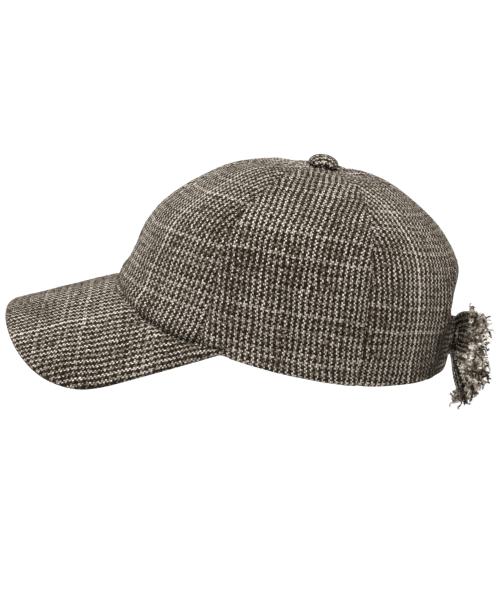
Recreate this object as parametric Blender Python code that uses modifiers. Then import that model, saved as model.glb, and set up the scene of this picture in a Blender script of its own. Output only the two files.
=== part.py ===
"""Tweed cap: a six-panel crown with a covered button, a curved peak, and at the back an arched gap
closed by two straps that are knotted, with two frayed tails.

Lengths are metres. Inside the cap's own frame the opening for the head lies in the plane z = 0 with
its centre at the origin, the front is towards -Y and the wearer's left is +X. The empty named
head_mount then leans the whole cap back, the way it sits on a head.
"""
import math
from collections import namedtuple

import bmesh
import bpy
import numpy as np
from mathutils import Vector

# How the cap sits
BACKWARD_LEAN = math.radians(10.0)

# Cloth and clearances
CLOTH = 0.0018
PIECE_GAP = 0.0003
SEAM_DIP = 0.0009
SEAM_DIP_REACH = 0.0045

# Crown
CROWN_FRONT = 0.100
CROWN_BACK = 0.101
CROWN_SIDE = 0.079
CROWN_HEIGHT = 0.1072
CROWN_SQUARENESS = 2.2
BUTTON_SETBACK = 0.007
TOP_HOLE_RADIUS = 0.0028
PANEL_COLUMNS = (0.0, 0.06, 0.18, 0.34, 0.50, 0.66, 0.82, 0.94, 1.0)
PANEL_ROWS = 14

# Each ring of the crown: reaches are shares of the crown's front, side and back, heights are shares
# of its height, and the seams are angles in degrees from the front.
Ring = namedtuple("Ring", "level front_reach front_height side_reach side_height "
                          "back_reach back_height front_seam back_seam")
CROWN_RINGS = (
    Ring(0.00, 1.080, 0.000, 0.985, 0.000, 0.985, 0.000, 66.0, 114.0),
    Ring(0.17, 0.980, 0.270, 1.000, 0.230, 0.970, 0.230, 64.0, 113.0),
    Ring(0.33, 0.922, 0.460, 0.990, 0.460, 0.945, 0.440, 62.0, 112.0),
    Ring(0.50, 0.840, 0.655, 0.905, 0.675, 0.872, 0.650, 60.0, 112.0),
    Ring(0.66, 0.655, 0.825, 0.715, 0.845, 0.695, 0.812, 60.0, 114.0),
    Ring(0.82, 0.395, 0.960, 0.400, 0.965, 0.400, 0.965, 60.0, 118.0),
    Ring(1.00, 0.000, 1.000, 0.000, 1.000, 0.000, 1.000, 60.0, 120.0),
)

# Hem round the opening: how far it wanders from the flat, as a share of HEM_WAVE
HEM_WAVE = 0.010
HemPoint = namedtuple("HemPoint", "angle height")
HEM_POINTS = (
    HemPoint(60.0, 0.45),
    HemPoint(75.0, 0.27),
    HemPoint(95.0, -0.09),
    HemPoint(115.0, -0.14),
    HemPoint(130.0, 0.02),
    HemPoint(140.0, 0.18),
    HemPoint(147.0, 0.30),
    HemPoint(153.0, 0.42),
    HemPoint(180.0, 1.00),
)

# Shallow dents of the crown: place by angle and level, depth as a share of DENT_DEPTH
DENT_DEPTH = 0.0020
DENT_REACH = 0.011
Dent = namedtuple("Dent", "angle level depth")
CROWN_DENTS = (
    Dent(14.0, 0.87, 1.05),
    Dent(17.0, 0.63, 0.50),
    Dent(0.0, 0.37, -0.80),
    Dent(0.0, 0.25, 0.50),
    Dent(84.0, 0.80, 0.40),
    Dent(125.0, 0.72, -0.35),
    Dent(150.0, 0.62, 0.60),
    Dent(76.0, 0.10, 0.50),
)

# Arched gap at the back
ARCH_TOP = 0.0627
ARCH_SHOULDER = 0.025
ARCH_HALF_WIDTH = 0.036
ARCH_FOOT_HALF_WIDTH = 0.041
ARCH_SQUARENESS = 2.6
ARCH_CORNERS = 20

# Button
BUTTON_RADIUS = 0.0088
BUTTON_HEIGHT = 0.0072
BUTTON_SKIRT_HEIGHT = 0.0018
BUTTON_FOOT_RADIUS = 0.0077
BUTTON_ARC_STEPS = 6
BUTTON_SIDES = 24

# Peak
PEAK_REACH = 0.1595
PEAK_HALF_WIDTH = 0.0765
PEAK_ARCH_DROP = 0.0465
PEAK_TIP_DROP = -0.0026
PEAK_ROOT_DROP = 0.0012
PEAK_TIP_PLACE = 0.124
PEAK_ROOT_PLACE = 0.092
PEAK_ROOT_HEIGHT = 0.0205
PEAK_SLOPE = math.radians(24.1)
PEAK_WIDEST = 0.102
PEAK_ROOT_END = 0.034
PEAK_CORNER_OVERHANG = 0.0012
PEAK_END_BLEND = math.radians(5.0)
PEAK_FRONT_SQUARENESS = 2.35
PEAK_THICKNESS = 0.0040
PEAK_EDGE_ROUNDING = 0.0007
PEAK_SIDE_SHARE = 0.16
PEAK_INNER_SHARE = 0.55
PEAK_SPOKES = 28
PEAK_STEPS = 7

# Knot
KNOT_WIDTH = 0.018
KNOT_DEPTH = 0.015
KNOT_HEIGHT = 0.024
KNOT_SET_IN = 0.0015
KNOT_UP = 0.0215
KNOT_FOLDS = 3
KNOT_TWIST = 4.0
KNOT_FOLD_DEPTH = 0.0012
KNOT_SIDES = 24
KNOT_RINGS = 12

# Straps
STRAP_TOP = 0.0385
STRAP_KNOT_HEIGHT = 0.017
STRAP_KNOT_SETBACK = 0.003
STRAP_BOW = 0.0022
STRAP_FOLD_DEPTH = 0.0013
STRAP_FOLDS = 3
STRAP_COLUMNS = 8
STRAP_ROWS = 12

# Tails: each row is a section, as shares of the tail's length and width
TAIL_LENGTH = 0.028
TAIL_WIDTH = 0.031
TAIL_FOLD_DEPTH = 0.0012
TAIL_COLUMNS = 12
TAIL_ROWS = 8
Section = namedtuple("Section", "along out back up width cup")
LEFT_TAIL_SPREAD = (0.0, 0.0, 1.0)
RIGHT_TAIL_SPREAD = (0.86, 0.30, 0.40)
LEFT_TAIL = (
    Section(0.00, 0.10, 0.10, 0.00, 0.52, 0.05),
    Section(0.35, 0.36, 0.25, 0.09, 0.86, 0.12),
    Section(0.70, 0.62, 0.35, 0.15, 0.98, 0.14),
    Section(1.00, 0.84, 0.43, 0.18, 1.00, 0.12),
)
RIGHT_TAIL = (
    Section(0.00, 0.04, 0.16, -0.14, 0.34, 0.04),
    Section(0.35, 0.15, 0.36, -0.36, 0.62, 0.10),
    Section(0.70, 0.25, 0.56, -0.64, 0.84, 0.13),
    Section(1.00, 0.33, 0.72, -0.88, 0.94, 0.12),
)

# Frayed ends
FRINGE_LENGTH = 0.0090
FRINGE_HEAD = 0.0020
FRINGE_LOCKS = 9
LOCK_RADIUS = 0.0017
LOCK_TIP_RADIUS = 0.0006
LOCK_SIDES = 6


def linear_material(name, colour, roughness):
    """Cloth material with one base colour."""
    material = bpy.data.materials.new(name)
    material.use_nodes = True
    shader = material.node_tree.nodes["Principled BSDF"]
    shader.inputs["Base Color"].default_value = (*colour, 1.0)
    shader.inputs["Roughness"].default_value = roughness
    shader.inputs["Metallic"].default_value = 0.0
    material.diffuse_color = (*colour, 1.0)
    return material


def smooth_value(places, values, place):
    """Value on the smooth curve through a table's rows, straight beyond its ends."""
    slopes = np.gradient(values, places)
    last = len(places) - 2
    index = int(np.clip(np.searchsorted(places, place) - 1, 0, last))
    span = places[index + 1] - places[index]
    share = (place - places[index]) / span
    if share < 0.0:
        return values[0] + slopes[0] * (place - places[0])
    if share > 1.0:
        return values[-1] + slopes[-1] * (place - places[-1])
    start = (1.0 + 2.0 * share) * (1.0 - share) ** 2 * values[index]
    start += share * (1.0 - share) ** 2 * span * slopes[index]
    end = share * share * (3.0 - 2.0 * share) * values[index + 1]
    end += share * share * (share - 1.0) * span * slopes[index + 1]
    return start + end


def column(table, name):
    """One named column of a table as an array."""
    return np.array([getattr(row, name) for row in table])


RING_LEVELS = column(CROWN_RINGS, "level")
RING_COLUMNS = {name: column(CROWN_RINGS, name) for name in Ring._fields}


def ring_value(name, level):
    return smooth_value(RING_LEVELS, RING_COLUMNS[name], level)


def signed_power(value, power):
    return math.copysign(abs(value) ** power, value)


def crown_form(angle, level):
    """Point of the plain crown, without seams and dents, at an angle from the front."""
    forward = math.cos(angle)
    sideways = math.sin(angle)
    power = 2.0 / CROWN_SQUARENESS
    end = "front" if forward > 0.0 else "back"
    end_reach = CROWN_FRONT if forward > 0.0 else CROWN_BACK
    reach = end_reach * ring_value(end + "_reach", level)
    side_height = ring_value("side_height", level)
    end_height = ring_value(end + "_height", level)
    x = CROWN_SIDE * ring_value("side_reach", level) * signed_power(sideways, power)
    y = BUTTON_SETBACK * level - reach * signed_power(forward, power)
    z = CROWN_HEIGHT * (side_height + (end_height - side_height) * forward * forward)
    return Vector((x, y, z))


def crown_directions(angle, level):
    """Vectors along the ring, up the crown and out of it; the first is per radian."""
    step = 0.01
    along = (crown_form(angle + step, level) - crown_form(angle - step, level)) / (2.0 * step)
    up = crown_form(angle, level + step) - crown_form(angle, level - step)
    outward = along.cross(up).normalized()
    return along, up, outward


def seam_angle(name, level):
    """Angle of a seam from the front; the crown's centre seam runs over the front and the back."""
    if name == "centre_front":
        return 0.0
    if name == "centre_back":
        return math.pi
    return math.radians(ring_value(name, level))


SEAMS = ("centre_front", "front_seam", "back_seam", "centre_back")


def crown_sink(angle, level):
    """How far the cloth sinks at seams and dents."""
    radius = crown_directions(angle, level)[0].length
    sink = 0.0
    for seam in SEAMS:
        distance = abs(angle - seam_angle(seam, level)) * radius
        sink = max(sink, SEAM_DIP * math.exp(-(distance / SEAM_DIP_REACH) ** 2))
    here = crown_form(angle, level)
    for dent in CROWN_DENTS:
        distance = (here - crown_form(math.radians(dent.angle), dent.level)).length
        sink += DENT_DEPTH * dent.depth * math.exp(-(distance / DENT_REACH) ** 2)
    return sink


def crown_point(angle, level):
    """Point of the crown's outer face."""
    outward = crown_directions(angle, level)[2]
    return crown_form(angle, level) - outward * crown_sink(angle, level)


def peak_height(x, y):
    """Height of the middle of the peak's thickness over the opening's plane."""
    radius = (PEAK_HALF_WIDTH ** 2 + PEAK_ARCH_DROP ** 2) / (2.0 * PEAK_ARCH_DROP)
    sag = radius - math.sqrt(max(radius ** 2 - x ** 2, 0.0))
    ridge = PEAK_ROOT_HEIGHT + math.tan(PEAK_SLOPE) * (y + CROWN_FRONT)
    share = min(max((y + PEAK_TIP_PLACE) / (PEAK_TIP_PLACE - PEAK_ROOT_PLACE), 0.0), 1.0)
    share = share * share * (3.0 - 2.0 * share)
    side_drop = PEAK_TIP_DROP + (PEAK_ROOT_DROP - PEAK_TIP_DROP) * share
    return ridge - sag - side_drop * (x / PEAK_HALF_WIDTH) ** 2


def hem_height(angle):
    places = np.radians(column(HEM_POINTS, "angle"))
    return HEM_WAVE * smooth_value(places, column(HEM_POINTS, "height"), angle)


def peak_end_angle():
    """Angle from the front at which the peak's corners meet the crown."""
    return math.acos((PEAK_ROOT_END / CROWN_FRONT) ** (0.5 * CROWN_SQUARENESS))


def lower_edge_height(point, angle):
    """Height of the crown's lower edge: the peak's underside in front, the hem elsewhere."""
    share = (angle - peak_end_angle()) / PEAK_END_BLEND
    share = min(max(share, 0.0), 1.0)
    share = share * share * (3.0 - 2.0 * share)
    under_peak = peak_height(point.x, point.y) - 0.5 * PEAK_THICKNESS
    return under_peak + (hem_height(angle) - under_peak) * share


def lower_level(angle_at):
    """Level where a column of the crown, given by its angle at each level, meets the lower edge."""
    low, high = -0.15, 0.75
    for _ in range(30):
        middle = 0.5 * (low + high)
        angle = angle_at(middle)
        point = crown_point(angle, middle)
        if point.z < lower_edge_height(point, angle):
            low = middle
        else:
            high = middle
    return high


def top_level():
    """Level where the crown's top hole begins."""
    low, high = 0.8, 1.0
    for _ in range(30):
        middle = 0.5 * (low + high)
        if CROWN_SIDE * ring_value("side_reach", middle) > TOP_HOLE_RADIUS:
            low = middle
        else:
            high = middle
    return high


def grid_mesh(name, rows, mirrored=False):
    """Open surface through rows of points, as a mesh; a mirrored one is flipped to -X."""
    mesh = bpy.data.meshes.new(name)
    across = len(rows[0])
    flip = -1.0 if mirrored else 1.0
    points = [(flip * point.x, point.y, point.z) for row in rows for point in row]
    faces = []
    for row in range(len(rows) - 1):
        for place in range(across - 1):
            corner = row * across + place
            face = (corner, corner + 1, corner + across + 1, corner + across)
            faces.append(face[::-1] if mirrored else face)
    mesh.from_pydata(points, [], faces)
    mesh.shade_smooth()
    return mesh


def thicken(thing, thickness, offset):
    shell = thing.modifiers.new("Cloth", "SOLIDIFY")
    shell.thickness = thickness
    shell.offset = offset
    return shell


def cut(thing, cutter, operation="DIFFERENCE"):
    boolean = thing.modifiers.new(operation.title(), "BOOLEAN")
    boolean.operation = operation
    boolean.object = cutter
    return boolean


def add_piece(name, mesh, material, cap):
    """One named piece of the cap, riding on the mount."""
    thing = bpy.data.objects.new(name, mesh)
    mesh.materials.append(material)
    cap["pieces"].objects.link(thing)
    thing.parent = cap["mount"]
    return thing


def add_cutter(name, mesh, cap):
    """One shape that only cuts or joins, riding on the mount."""
    thing = bpy.data.objects.new(name, mesh)
    cap["cutters"].objects.link(thing)
    thing.parent = cap["mount"]
    thing.hide_render = True
    thing.display_type = "WIRE"
    return thing


def panel_angle(front_seam, back_seam, share, level):
    """Angle of a panel's column at a level, its edges held clear of the seams."""
    first = seam_angle(front_seam, level)
    last = seam_angle(back_seam, level)
    facet = (last - first) * (PANEL_COLUMNS[1] - PANEL_COLUMNS[0])
    inset = 0.5 * PIECE_GAP + CLOTH * math.tan(facet)
    first += inset / crown_directions(first, level)[0].length
    last -= inset / crown_directions(last, level)[0].length
    return first + (last - first) * share


def crown_panel(name, front_seam, back_seam, mirrored, material, cap):
    """One panel of the crown between two seams, from the lower edge to the top hole."""
    top = top_level()
    columns = []
    for share in PANEL_COLUMNS:
        def angle_at(level, share=share):
            return panel_angle(front_seam, back_seam, share, level)
        bottom = lower_level(angle_at)
        levels = [bottom + (top - bottom) * row / PANEL_ROWS for row in range(PANEL_ROWS + 1)]
        columns.append([crown_point(angle_at(level), level) for level in levels])
    rows = [list(row) for row in zip(*columns)]
    panel = add_piece(name, grid_mesh(name, rows, mirrored), material, cap)
    thicken(panel, CLOTH, -1.0)
    return panel


def arch_half_width(height):
    """Half the width of the gap at the back at a height over the opening's plane."""
    if height >= ARCH_TOP:
        return 0.0
    if height <= ARCH_SHOULDER:
        share = (ARCH_SHOULDER - height) / ARCH_SHOULDER
        return ARCH_HALF_WIDTH + (ARCH_FOOT_HALF_WIDTH - ARCH_HALF_WIDTH) * share
    rise = (height - ARCH_SHOULDER) / (ARCH_TOP - ARCH_SHOULDER)
    return ARCH_HALF_WIDTH * (1.0 - rise ** ARCH_SQUARENESS) ** (1.0 / ARCH_SQUARENESS)


def extruded_outline(name, outline, near, far):
    """Closed prism of an outline in X and Z, from one Y to another."""
    form = bmesh.new()
    corners = [form.verts.new((x, near, z)) for x, z in outline]
    face = form.faces.new(corners)
    grown = bmesh.ops.extrude_face_region(form, geom=[face])
    moved = [item for item in grown["geom"] if isinstance(item, bmesh.types.BMVert)]
    bmesh.ops.translate(form, verts=moved, vec=(0.0, far - near, 0.0))
    bmesh.ops.recalc_face_normals(form, faces=form.faces)
    mesh = bpy.data.meshes.new(name)
    form.to_mesh(mesh)
    form.free()
    return mesh


def arch_cutter(cap):
    """Prism that cuts the arched gap into the back panels."""
    below = -2.0 * HEM_WAVE
    right_side = [(arch_half_width(below), below), (ARCH_HALF_WIDTH, ARCH_SHOULDER)]
    curve = []
    for corner in range(1, ARCH_CORNERS):
        turn = math.pi * corner / ARCH_CORNERS
        across = ARCH_HALF_WIDTH * signed_power(math.cos(turn), 2.0 / ARCH_SQUARENESS)
        rise = (ARCH_TOP - ARCH_SHOULDER) * math.sin(turn) ** (2.0 / ARCH_SQUARENESS)
        curve.append((across, ARCH_SHOULDER + rise))
    left_side = [(-x, z) for x, z in reversed(right_side)]
    outline = right_side + curve + left_side
    mesh = extruded_outline("arch_cutter", outline, 0.5 * CROWN_BACK, 1.5 * CROWN_BACK)
    return add_cutter("arch_cutter", mesh, cap)


def crown(material, cap):
    """Six panels; the two at the back leave the arched gap."""
    arch = arch_cutter(cap)
    for side in ("left", "right"):
        mirrored = side == "right"
        crown_panel("panel_front_" + side, "centre_front", "front_seam", mirrored, material, cap)
        crown_panel("panel_side_" + side, "front_seam", "back_seam", mirrored, material, cap)
        back = crown_panel("panel_back_" + side, "back_seam", "centre_back", mirrored, material, cap)
        cut(back, arch)


def button_seat_height():
    """Highest point of the panels under the button's foot."""
    highest = 0.0
    for step in range(12):
        level = top_level() - 0.02 * step
        for place in range(24):
            point = crown_point(math.pi * (place + 0.5) / 24, level)
            from_centre = math.hypot(point.x, point.y - BUTTON_SETBACK)
            if from_centre < BUTTON_FOOT_RADIUS:
                highest = max(highest, point.z)
    return highest


def button(material, cap):
    """Covered button, a turned dome over the meeting of the seams."""
    dome = BUTTON_HEIGHT - BUTTON_SKIRT_HEIGHT
    profile = []
    for step in range(BUTTON_ARC_STEPS + 1):
        turn = 0.5 * math.pi * step / BUTTON_ARC_STEPS
        profile.append((BUTTON_RADIUS * math.sin(turn), BUTTON_SKIRT_HEIGHT + dome * math.cos(turn)))
    profile.append((BUTTON_FOOT_RADIUS, 0.0))
    profile.append((0.0, 0.0))
    mesh = bpy.data.meshes.new("button")
    edges = [(index, index + 1) for index in range(len(profile) - 1)]
    mesh.from_pydata([(x, 0.0, z) for x, z in profile], edges, [])
    knob = add_piece("button", mesh, material, cap)
    turned = knob.modifiers.new("Turned", "SCREW")
    turned.steps = BUTTON_SIDES
    turned.render_steps = BUTTON_SIDES
    turned.use_merge_vertices = True
    turned.merge_threshold = 0.00005
    turned.use_normal_calculate = True
    seat = crown_form(0.0, 1.0)
    seat.z = button_seat_height() + PIECE_GAP
    knob.location = seat
    return knob


def peak_surface_point(x, y, lift):
    """Point of the peak, lifted off the middle of its thickness along its normal."""
    step = 0.0005
    slope_x = (peak_height(x + step, y) - peak_height(x - step, y)) / (2.0 * step)
    slope_y = math.tan(PEAK_SLOPE)
    normal = Vector((-slope_x, -slope_y, 1.0)).normalized()
    return Vector((x, y, peak_height(x, y))) + normal * lift


def peak_outline(share):
    """Outer edge of the peak in plan, from the wearer's right (0) round the front to the left (1)."""
    power = 2.0 / PEAK_FRONT_SQUARENESS
    middle = (share - 0.5) / (0.5 - PEAK_SIDE_SHARE)
    if abs(middle) <= 1.0:
        turn = 0.5 * math.pi * middle
        x = PEAK_HALF_WIDTH * signed_power(math.sin(turn), power)
        y = -PEAK_WIDEST - (PEAK_REACH - PEAK_WIDEST) * signed_power(math.cos(turn), power)
        return x, y
    back = (abs(share - 0.5) - (0.5 - PEAK_SIDE_SHARE)) / PEAK_SIDE_SHARE
    corner = crown_form(peak_end_angle(), 0.0).x + PEAK_CORNER_OVERHANG
    x = PEAK_HALF_WIDTH + (corner - PEAK_HALF_WIDTH) * back ** 2
    y = -PEAK_WIDEST + (PEAK_WIDEST - PEAK_ROOT_END) * back
    return math.copysign(x, share - 0.5), y


def peak_cover(name, lift, offset, crown_space, material, cap):
    """One cloth-covered half of the peak's thickness, trimmed where it meets the crown."""
    rows = []
    for spoke in range(PEAK_SPOKES + 1):
        x, y = peak_outline(spoke / PEAK_SPOKES)
        row = []
        for step in range(PEAK_STEPS + 1):
            share = PEAK_INNER_SHARE + (1.0 - PEAK_INNER_SHARE) * step / PEAK_STEPS
            row.append(peak_surface_point(x * share, y * share, lift))
        rows.append(row)
    cover = add_piece(name, grid_mesh(name, rows), material, cap)
    thicken(cover, 0.5 * (PEAK_THICKNESS - PIECE_GAP), offset)
    rounding = cover.modifiers.new("Edge", "BEVEL")
    rounding.width = PEAK_EDGE_ROUNDING
    rounding.segments = 1
    rounding.limit_method = "ANGLE"
    rounding.angle_limit = math.radians(50.0)
    cut(cover, crown_space)
    return cover


def crown_space_cutter(cap):
    """The crown's whole outer form grown by the gap, closed below, which trims the peak."""
    around = 48
    below_opening = (-0.35, -0.15)
    levels = list(below_opening) + [0.06 * step for step in range(14)]
    form = bmesh.new()
    rings = []
    for level in levels:
        ring = []
        for place in range(around):
            angle = 2.0 * math.pi * place / around
            outward = crown_directions(angle, level)[2]
            ring.append(form.verts.new(crown_form(angle, level) + outward * PIECE_GAP))
        rings.append(ring)
    for lower, upper in zip(rings, rings[1:]):
        for place in range(around):
            following = (place + 1) % around
            form.faces.new((lower[place], lower[following], upper[following], upper[place]))
    form.faces.new(rings[0][::-1])
    form.faces.new(rings[-1])
    mesh = bpy.data.meshes.new("crown_space")
    form.to_mesh(mesh)
    form.free()
    return add_cutter("crown_space", mesh, cap)


def peak(top_material, under_material, cap):
    """The peak's two covers, which meet at the middle of its thickness."""
    space = crown_space_cutter(cap)
    lift = 0.5 * PIECE_GAP
    peak_cover("peak_top", lift, 1.0, space, top_material, cap)
    peak_cover("peak_under", -lift, -1.0, space, under_material, cap)


def knot_centre():
    return Vector((0.0, back_of_crown(0.0, KNOT_UP) - KNOT_SET_IN, KNOT_UP))


def knot_mesh(name, growth, fold_depth):
    """Closed lump of the knot, grown by a length, with folds that run round it."""
    form = bmesh.new()
    bmesh.ops.create_uvsphere(form, u_segments=KNOT_SIDES, v_segments=KNOT_RINGS, radius=1.0)
    for vertex in form.verts:
        turn = math.atan2(vertex.co.y, vertex.co.x)
        fold = fold_depth * (0.5 + 0.5 * math.cos(KNOT_FOLDS * turn + KNOT_TWIST * vertex.co.z))
        half = Vector((0.5 * KNOT_WIDTH, 0.5 * KNOT_DEPTH, 0.5 * KNOT_HEIGHT))
        size = half + Vector((growth, growth, growth)) - Vector((fold, fold, fold))
        vertex.co = Vector(a * b for a, b in zip(vertex.co, size)) + knot_centre()
    mesh = bpy.data.meshes.new(name)
    form.to_mesh(mesh)
    form.free()
    mesh.shade_smooth()
    return mesh


def back_of_crown(x, z):
    """Depth of the crown's back at a place over the opening, where the straps begin."""
    low, high = 0.0, 0.6
    angle = math.pi
    for _ in range(30):
        level = 0.5 * (low + high)
        reach = CROWN_SIDE * ring_value("side_reach", level)
        angle = math.pi - math.asin(min((x / reach) ** (0.5 * CROWN_SQUARENESS), 1.0))
        if crown_form(angle, level).z < z:
            low = level
        else:
            high = level
    return crown_form(angle, high).y


def strap(name, mirrored, knot_space, material, cap):
    """Band from the foot of the arch to the knot, gathered into folds where it enters it."""
    rows = []
    centre = knot_centre()
    foot_share = ARCH_FOOT_HALF_WIDTH / crown_form(0.5 * math.pi, 0.0).x
    foot = hem_height(math.pi - math.asin(foot_share ** (0.5 * CROWN_SQUARENESS)))
    for row in range(STRAP_ROWS + 1):
        up = row / STRAP_ROWS
        start_z = foot + (STRAP_TOP - foot) * up
        start_x = arch_half_width(start_z) - PIECE_GAP
        start = Vector((start_x, back_of_crown(start_x, start_z), start_z))
        end_z = centre.z + STRAP_KNOT_HEIGHT * (up - 0.5)
        end = Vector((0.25 * KNOT_WIDTH, centre.y - STRAP_KNOT_SETBACK, end_z))
        line = []
        for place in range(STRAP_COLUMNS + 1):
            share = place / STRAP_COLUMNS
            point = start.lerp(end, share)
            fold = STRAP_FOLD_DEPTH * share * math.cos(2.0 * math.pi * STRAP_FOLDS * up)
            bow = STRAP_BOW * math.sin(math.pi * share)
            line.append(point + Vector((0.0, bow + fold, 0.0)))
        rows.append(line[::-1])
    band = add_piece(name, grid_mesh(name, rows, mirrored), material, cap)
    thicken(band, CLOTH, -1.0)
    cut(band, knot_space)
    return band


def tail_frame(shape, along):
    """Centre, forward, width and normal directions and the width and cup of a tail's section."""
    sections, spread_hint = shape
    places = column(sections, "along")

    def centre_at(place):
        parts = [smooth_value(places, column(sections, name), place) for name in ("out", "back", "up")]
        return knot_centre() + TAIL_LENGTH * Vector(parts)

    forward = (centre_at(along + 0.02) - centre_at(along - 0.02)).normalized()
    hint = Vector(spread_hint)
    spread = (hint - forward * hint.dot(forward)).normalized()
    normal = forward.cross(spread).normalized()
    width = TAIL_WIDTH * smooth_value(places, column(sections, "width"), along)
    cup = TAIL_WIDTH * smooth_value(places, column(sections, "cup"), along)
    return centre_at(along), forward, spread, normal, width, cup


def tail_point(shape, along, across):
    """Point of a tail's cupped and gathered sheet; across runs from -1 to 1."""
    centre, forward, spread, normal, width, cup = tail_frame(shape, along)
    folds = TAIL_FOLD_DEPTH * math.cos(2.5 * math.pi * across) * (1.1 - along)
    depth = cup * across * across + folds
    return centre + spread * (0.5 * width * across) + normal * depth


def tail_rows(shape, first, last, steps):
    rows = []
    for step in range(steps + 1):
        along = first + (last - first) * step / steps
        rows.append([tail_point(shape, along, 2.0 * place / TAIL_COLUMNS - 1.0)
                     for place in range(TAIL_COLUMNS + 1)])
    return rows


def tail(name, shape, mirrored, knot_space, material, cap):
    """Flared end of a strap beyond the knot."""
    mesh = grid_mesh(name, tail_rows(shape, 0.0, 1.0, TAIL_ROWS), mirrored)
    flap = add_piece(name, mesh, material, cap)
    thicken(flap, CLOTH, 0.0)
    cut(flap, knot_space)
    return flap


def fringe(name, shape, mirrored, material, cap):
    """Frayed edge of a tail: locks of yarn fused to a narrow head beyond the tail's end."""
    start = 1.0 + PIECE_GAP / TAIL_LENGTH
    head_end = start + FRINGE_HEAD / TAIL_LENGTH
    mesh = grid_mesh(name, tail_rows(shape, start, head_end, 1), mirrored)
    head = add_piece(name, mesh, material, cap)
    thicken(head, CLOTH, 0.0)
    locks = bpy.data.collections.new(name + "_locks")
    cap["cutters"].children.link(locks)
    flip = -1.0 if mirrored else 1.0
    for lock in range(FRINGE_LOCKS):
        across = (2.0 * lock + 1.0) / FRINGE_LOCKS - 1.0
        root = tail_point(shape, 0.5 * (start + head_end), across)
        forward, spread, normal = tail_frame(shape, head_end)[1:4]
        swing = 0.35 * across + 0.22 * math.sin(2.4 * lock)
        lean = 0.30 * math.sin(1.7 * lock + 0.6)
        direction = (forward + spread * swing + normal * lean).normalized()
        length = FRINGE_LENGTH * (0.86 + 0.14 * math.cos(2.1 * lock))
        form = bmesh.new()
        bmesh.ops.create_cone(form, cap_ends=True, segments=LOCK_SIDES, radius1=LOCK_RADIUS,
                              radius2=LOCK_TIP_RADIUS, depth=length)
        bmesh.ops.translate(form, verts=form.verts, vec=(0.0, 0.0, 0.5 * length))
        turn = Vector((0.0, 0.0, 1.0)).rotation_difference(Vector((flip * direction.x, direction.y,
                                                                    direction.z)))
        bmesh.ops.transform(form, matrix=turn.to_matrix().to_4x4(), verts=form.verts)
        bmesh.ops.translate(form, verts=form.verts, vec=(flip * root.x, root.y, root.z))
        mesh = bpy.data.meshes.new("lock")
        form.to_mesh(mesh)
        form.free()
        thing = bpy.data.objects.new("lock", mesh)
        locks.objects.link(thing)
        thing.parent = cap["mount"]
        thing.hide_render = True
        thing.display_type = "WIRE"
        cut(head, thing, "UNION")
    return head


def tie(cloth_material, fringe_material, cap):
    """Straps, knot and tails at the back."""
    knot = add_piece("knot", knot_mesh("knot", 0.0, KNOT_FOLD_DEPTH), cloth_material, cap)
    growth = PIECE_GAP + 0.5 * KNOT_HEIGHT * (1.0 - math.cos(math.pi / KNOT_RINGS))
    knot_space = add_cutter("knot_space", knot_mesh("knot_space", growth, 0.0), cap)
    strap("strap_left", False, knot_space, cloth_material, cap)
    strap("strap_right", True, knot_space, cloth_material, cap)
    left_shape = (LEFT_TAIL, LEFT_TAIL_SPREAD)
    right_shape = (RIGHT_TAIL, RIGHT_TAIL_SPREAD)
    tail("tail_left", left_shape, False, knot_space, cloth_material, cap)
    tail("tail_right", right_shape, True, knot_space, cloth_material, cap)
    fringe("fringe_left", left_shape, False, fringe_material, cap)
    fringe("fringe_right", right_shape, True, fringe_material, cap)
    return knot


def clear_scene():
    for thing in list(bpy.data.objects):
        bpy.data.objects.remove(thing)


def build():
    clear_scene()
    pieces = bpy.data.collections.new("tweed_cap")
    cutters = bpy.data.collections.new("cutters")
    bpy.context.scene.collection.children.link(pieces)
    bpy.context.scene.collection.children.link(cutters)
    mount = bpy.data.objects.new("head_mount", None)
    pieces.objects.link(mount)
    mount.rotation_euler = (-BACKWARD_LEAN, 0.0, 0.0)
    cap = {"pieces": pieces, "cutters": cutters, "mount": mount}
    tweed = linear_material("tweed", (0.125, 0.110, 0.090), 0.95)
    peak_tweed = linear_material("peak_tweed", (0.120, 0.105, 0.087), 0.95)
    yarn = linear_material("frayed_yarn", (0.36, 0.31, 0.25), 1.0)
    crown(tweed, cap)
    button(tweed, cap)
    peak(peak_tweed, peak_tweed, cap)
    tie(tweed, yarn, cap)


build()
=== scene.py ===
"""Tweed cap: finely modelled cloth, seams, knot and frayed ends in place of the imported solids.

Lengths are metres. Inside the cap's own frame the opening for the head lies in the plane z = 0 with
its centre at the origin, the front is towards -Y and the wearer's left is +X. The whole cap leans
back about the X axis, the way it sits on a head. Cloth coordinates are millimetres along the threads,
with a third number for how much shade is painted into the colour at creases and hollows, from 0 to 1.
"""
import math
from collections import namedtuple
from functools import partialmethod
import bpy
import numpy as np
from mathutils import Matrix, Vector


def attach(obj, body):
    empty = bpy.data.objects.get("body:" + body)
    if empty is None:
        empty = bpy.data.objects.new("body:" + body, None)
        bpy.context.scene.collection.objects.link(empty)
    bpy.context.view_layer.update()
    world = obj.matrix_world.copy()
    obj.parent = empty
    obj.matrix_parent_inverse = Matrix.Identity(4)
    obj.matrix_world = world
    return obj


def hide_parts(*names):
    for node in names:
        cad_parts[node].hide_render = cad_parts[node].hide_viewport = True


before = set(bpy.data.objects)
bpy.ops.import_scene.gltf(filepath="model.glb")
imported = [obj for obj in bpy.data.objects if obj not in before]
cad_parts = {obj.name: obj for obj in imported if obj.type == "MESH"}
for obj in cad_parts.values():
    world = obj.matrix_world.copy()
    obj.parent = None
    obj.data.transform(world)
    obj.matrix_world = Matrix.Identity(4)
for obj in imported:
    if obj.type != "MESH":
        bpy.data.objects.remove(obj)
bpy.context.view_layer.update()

# How the cap sits
BACKWARD_LEAN = math.radians(10.0)

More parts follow.
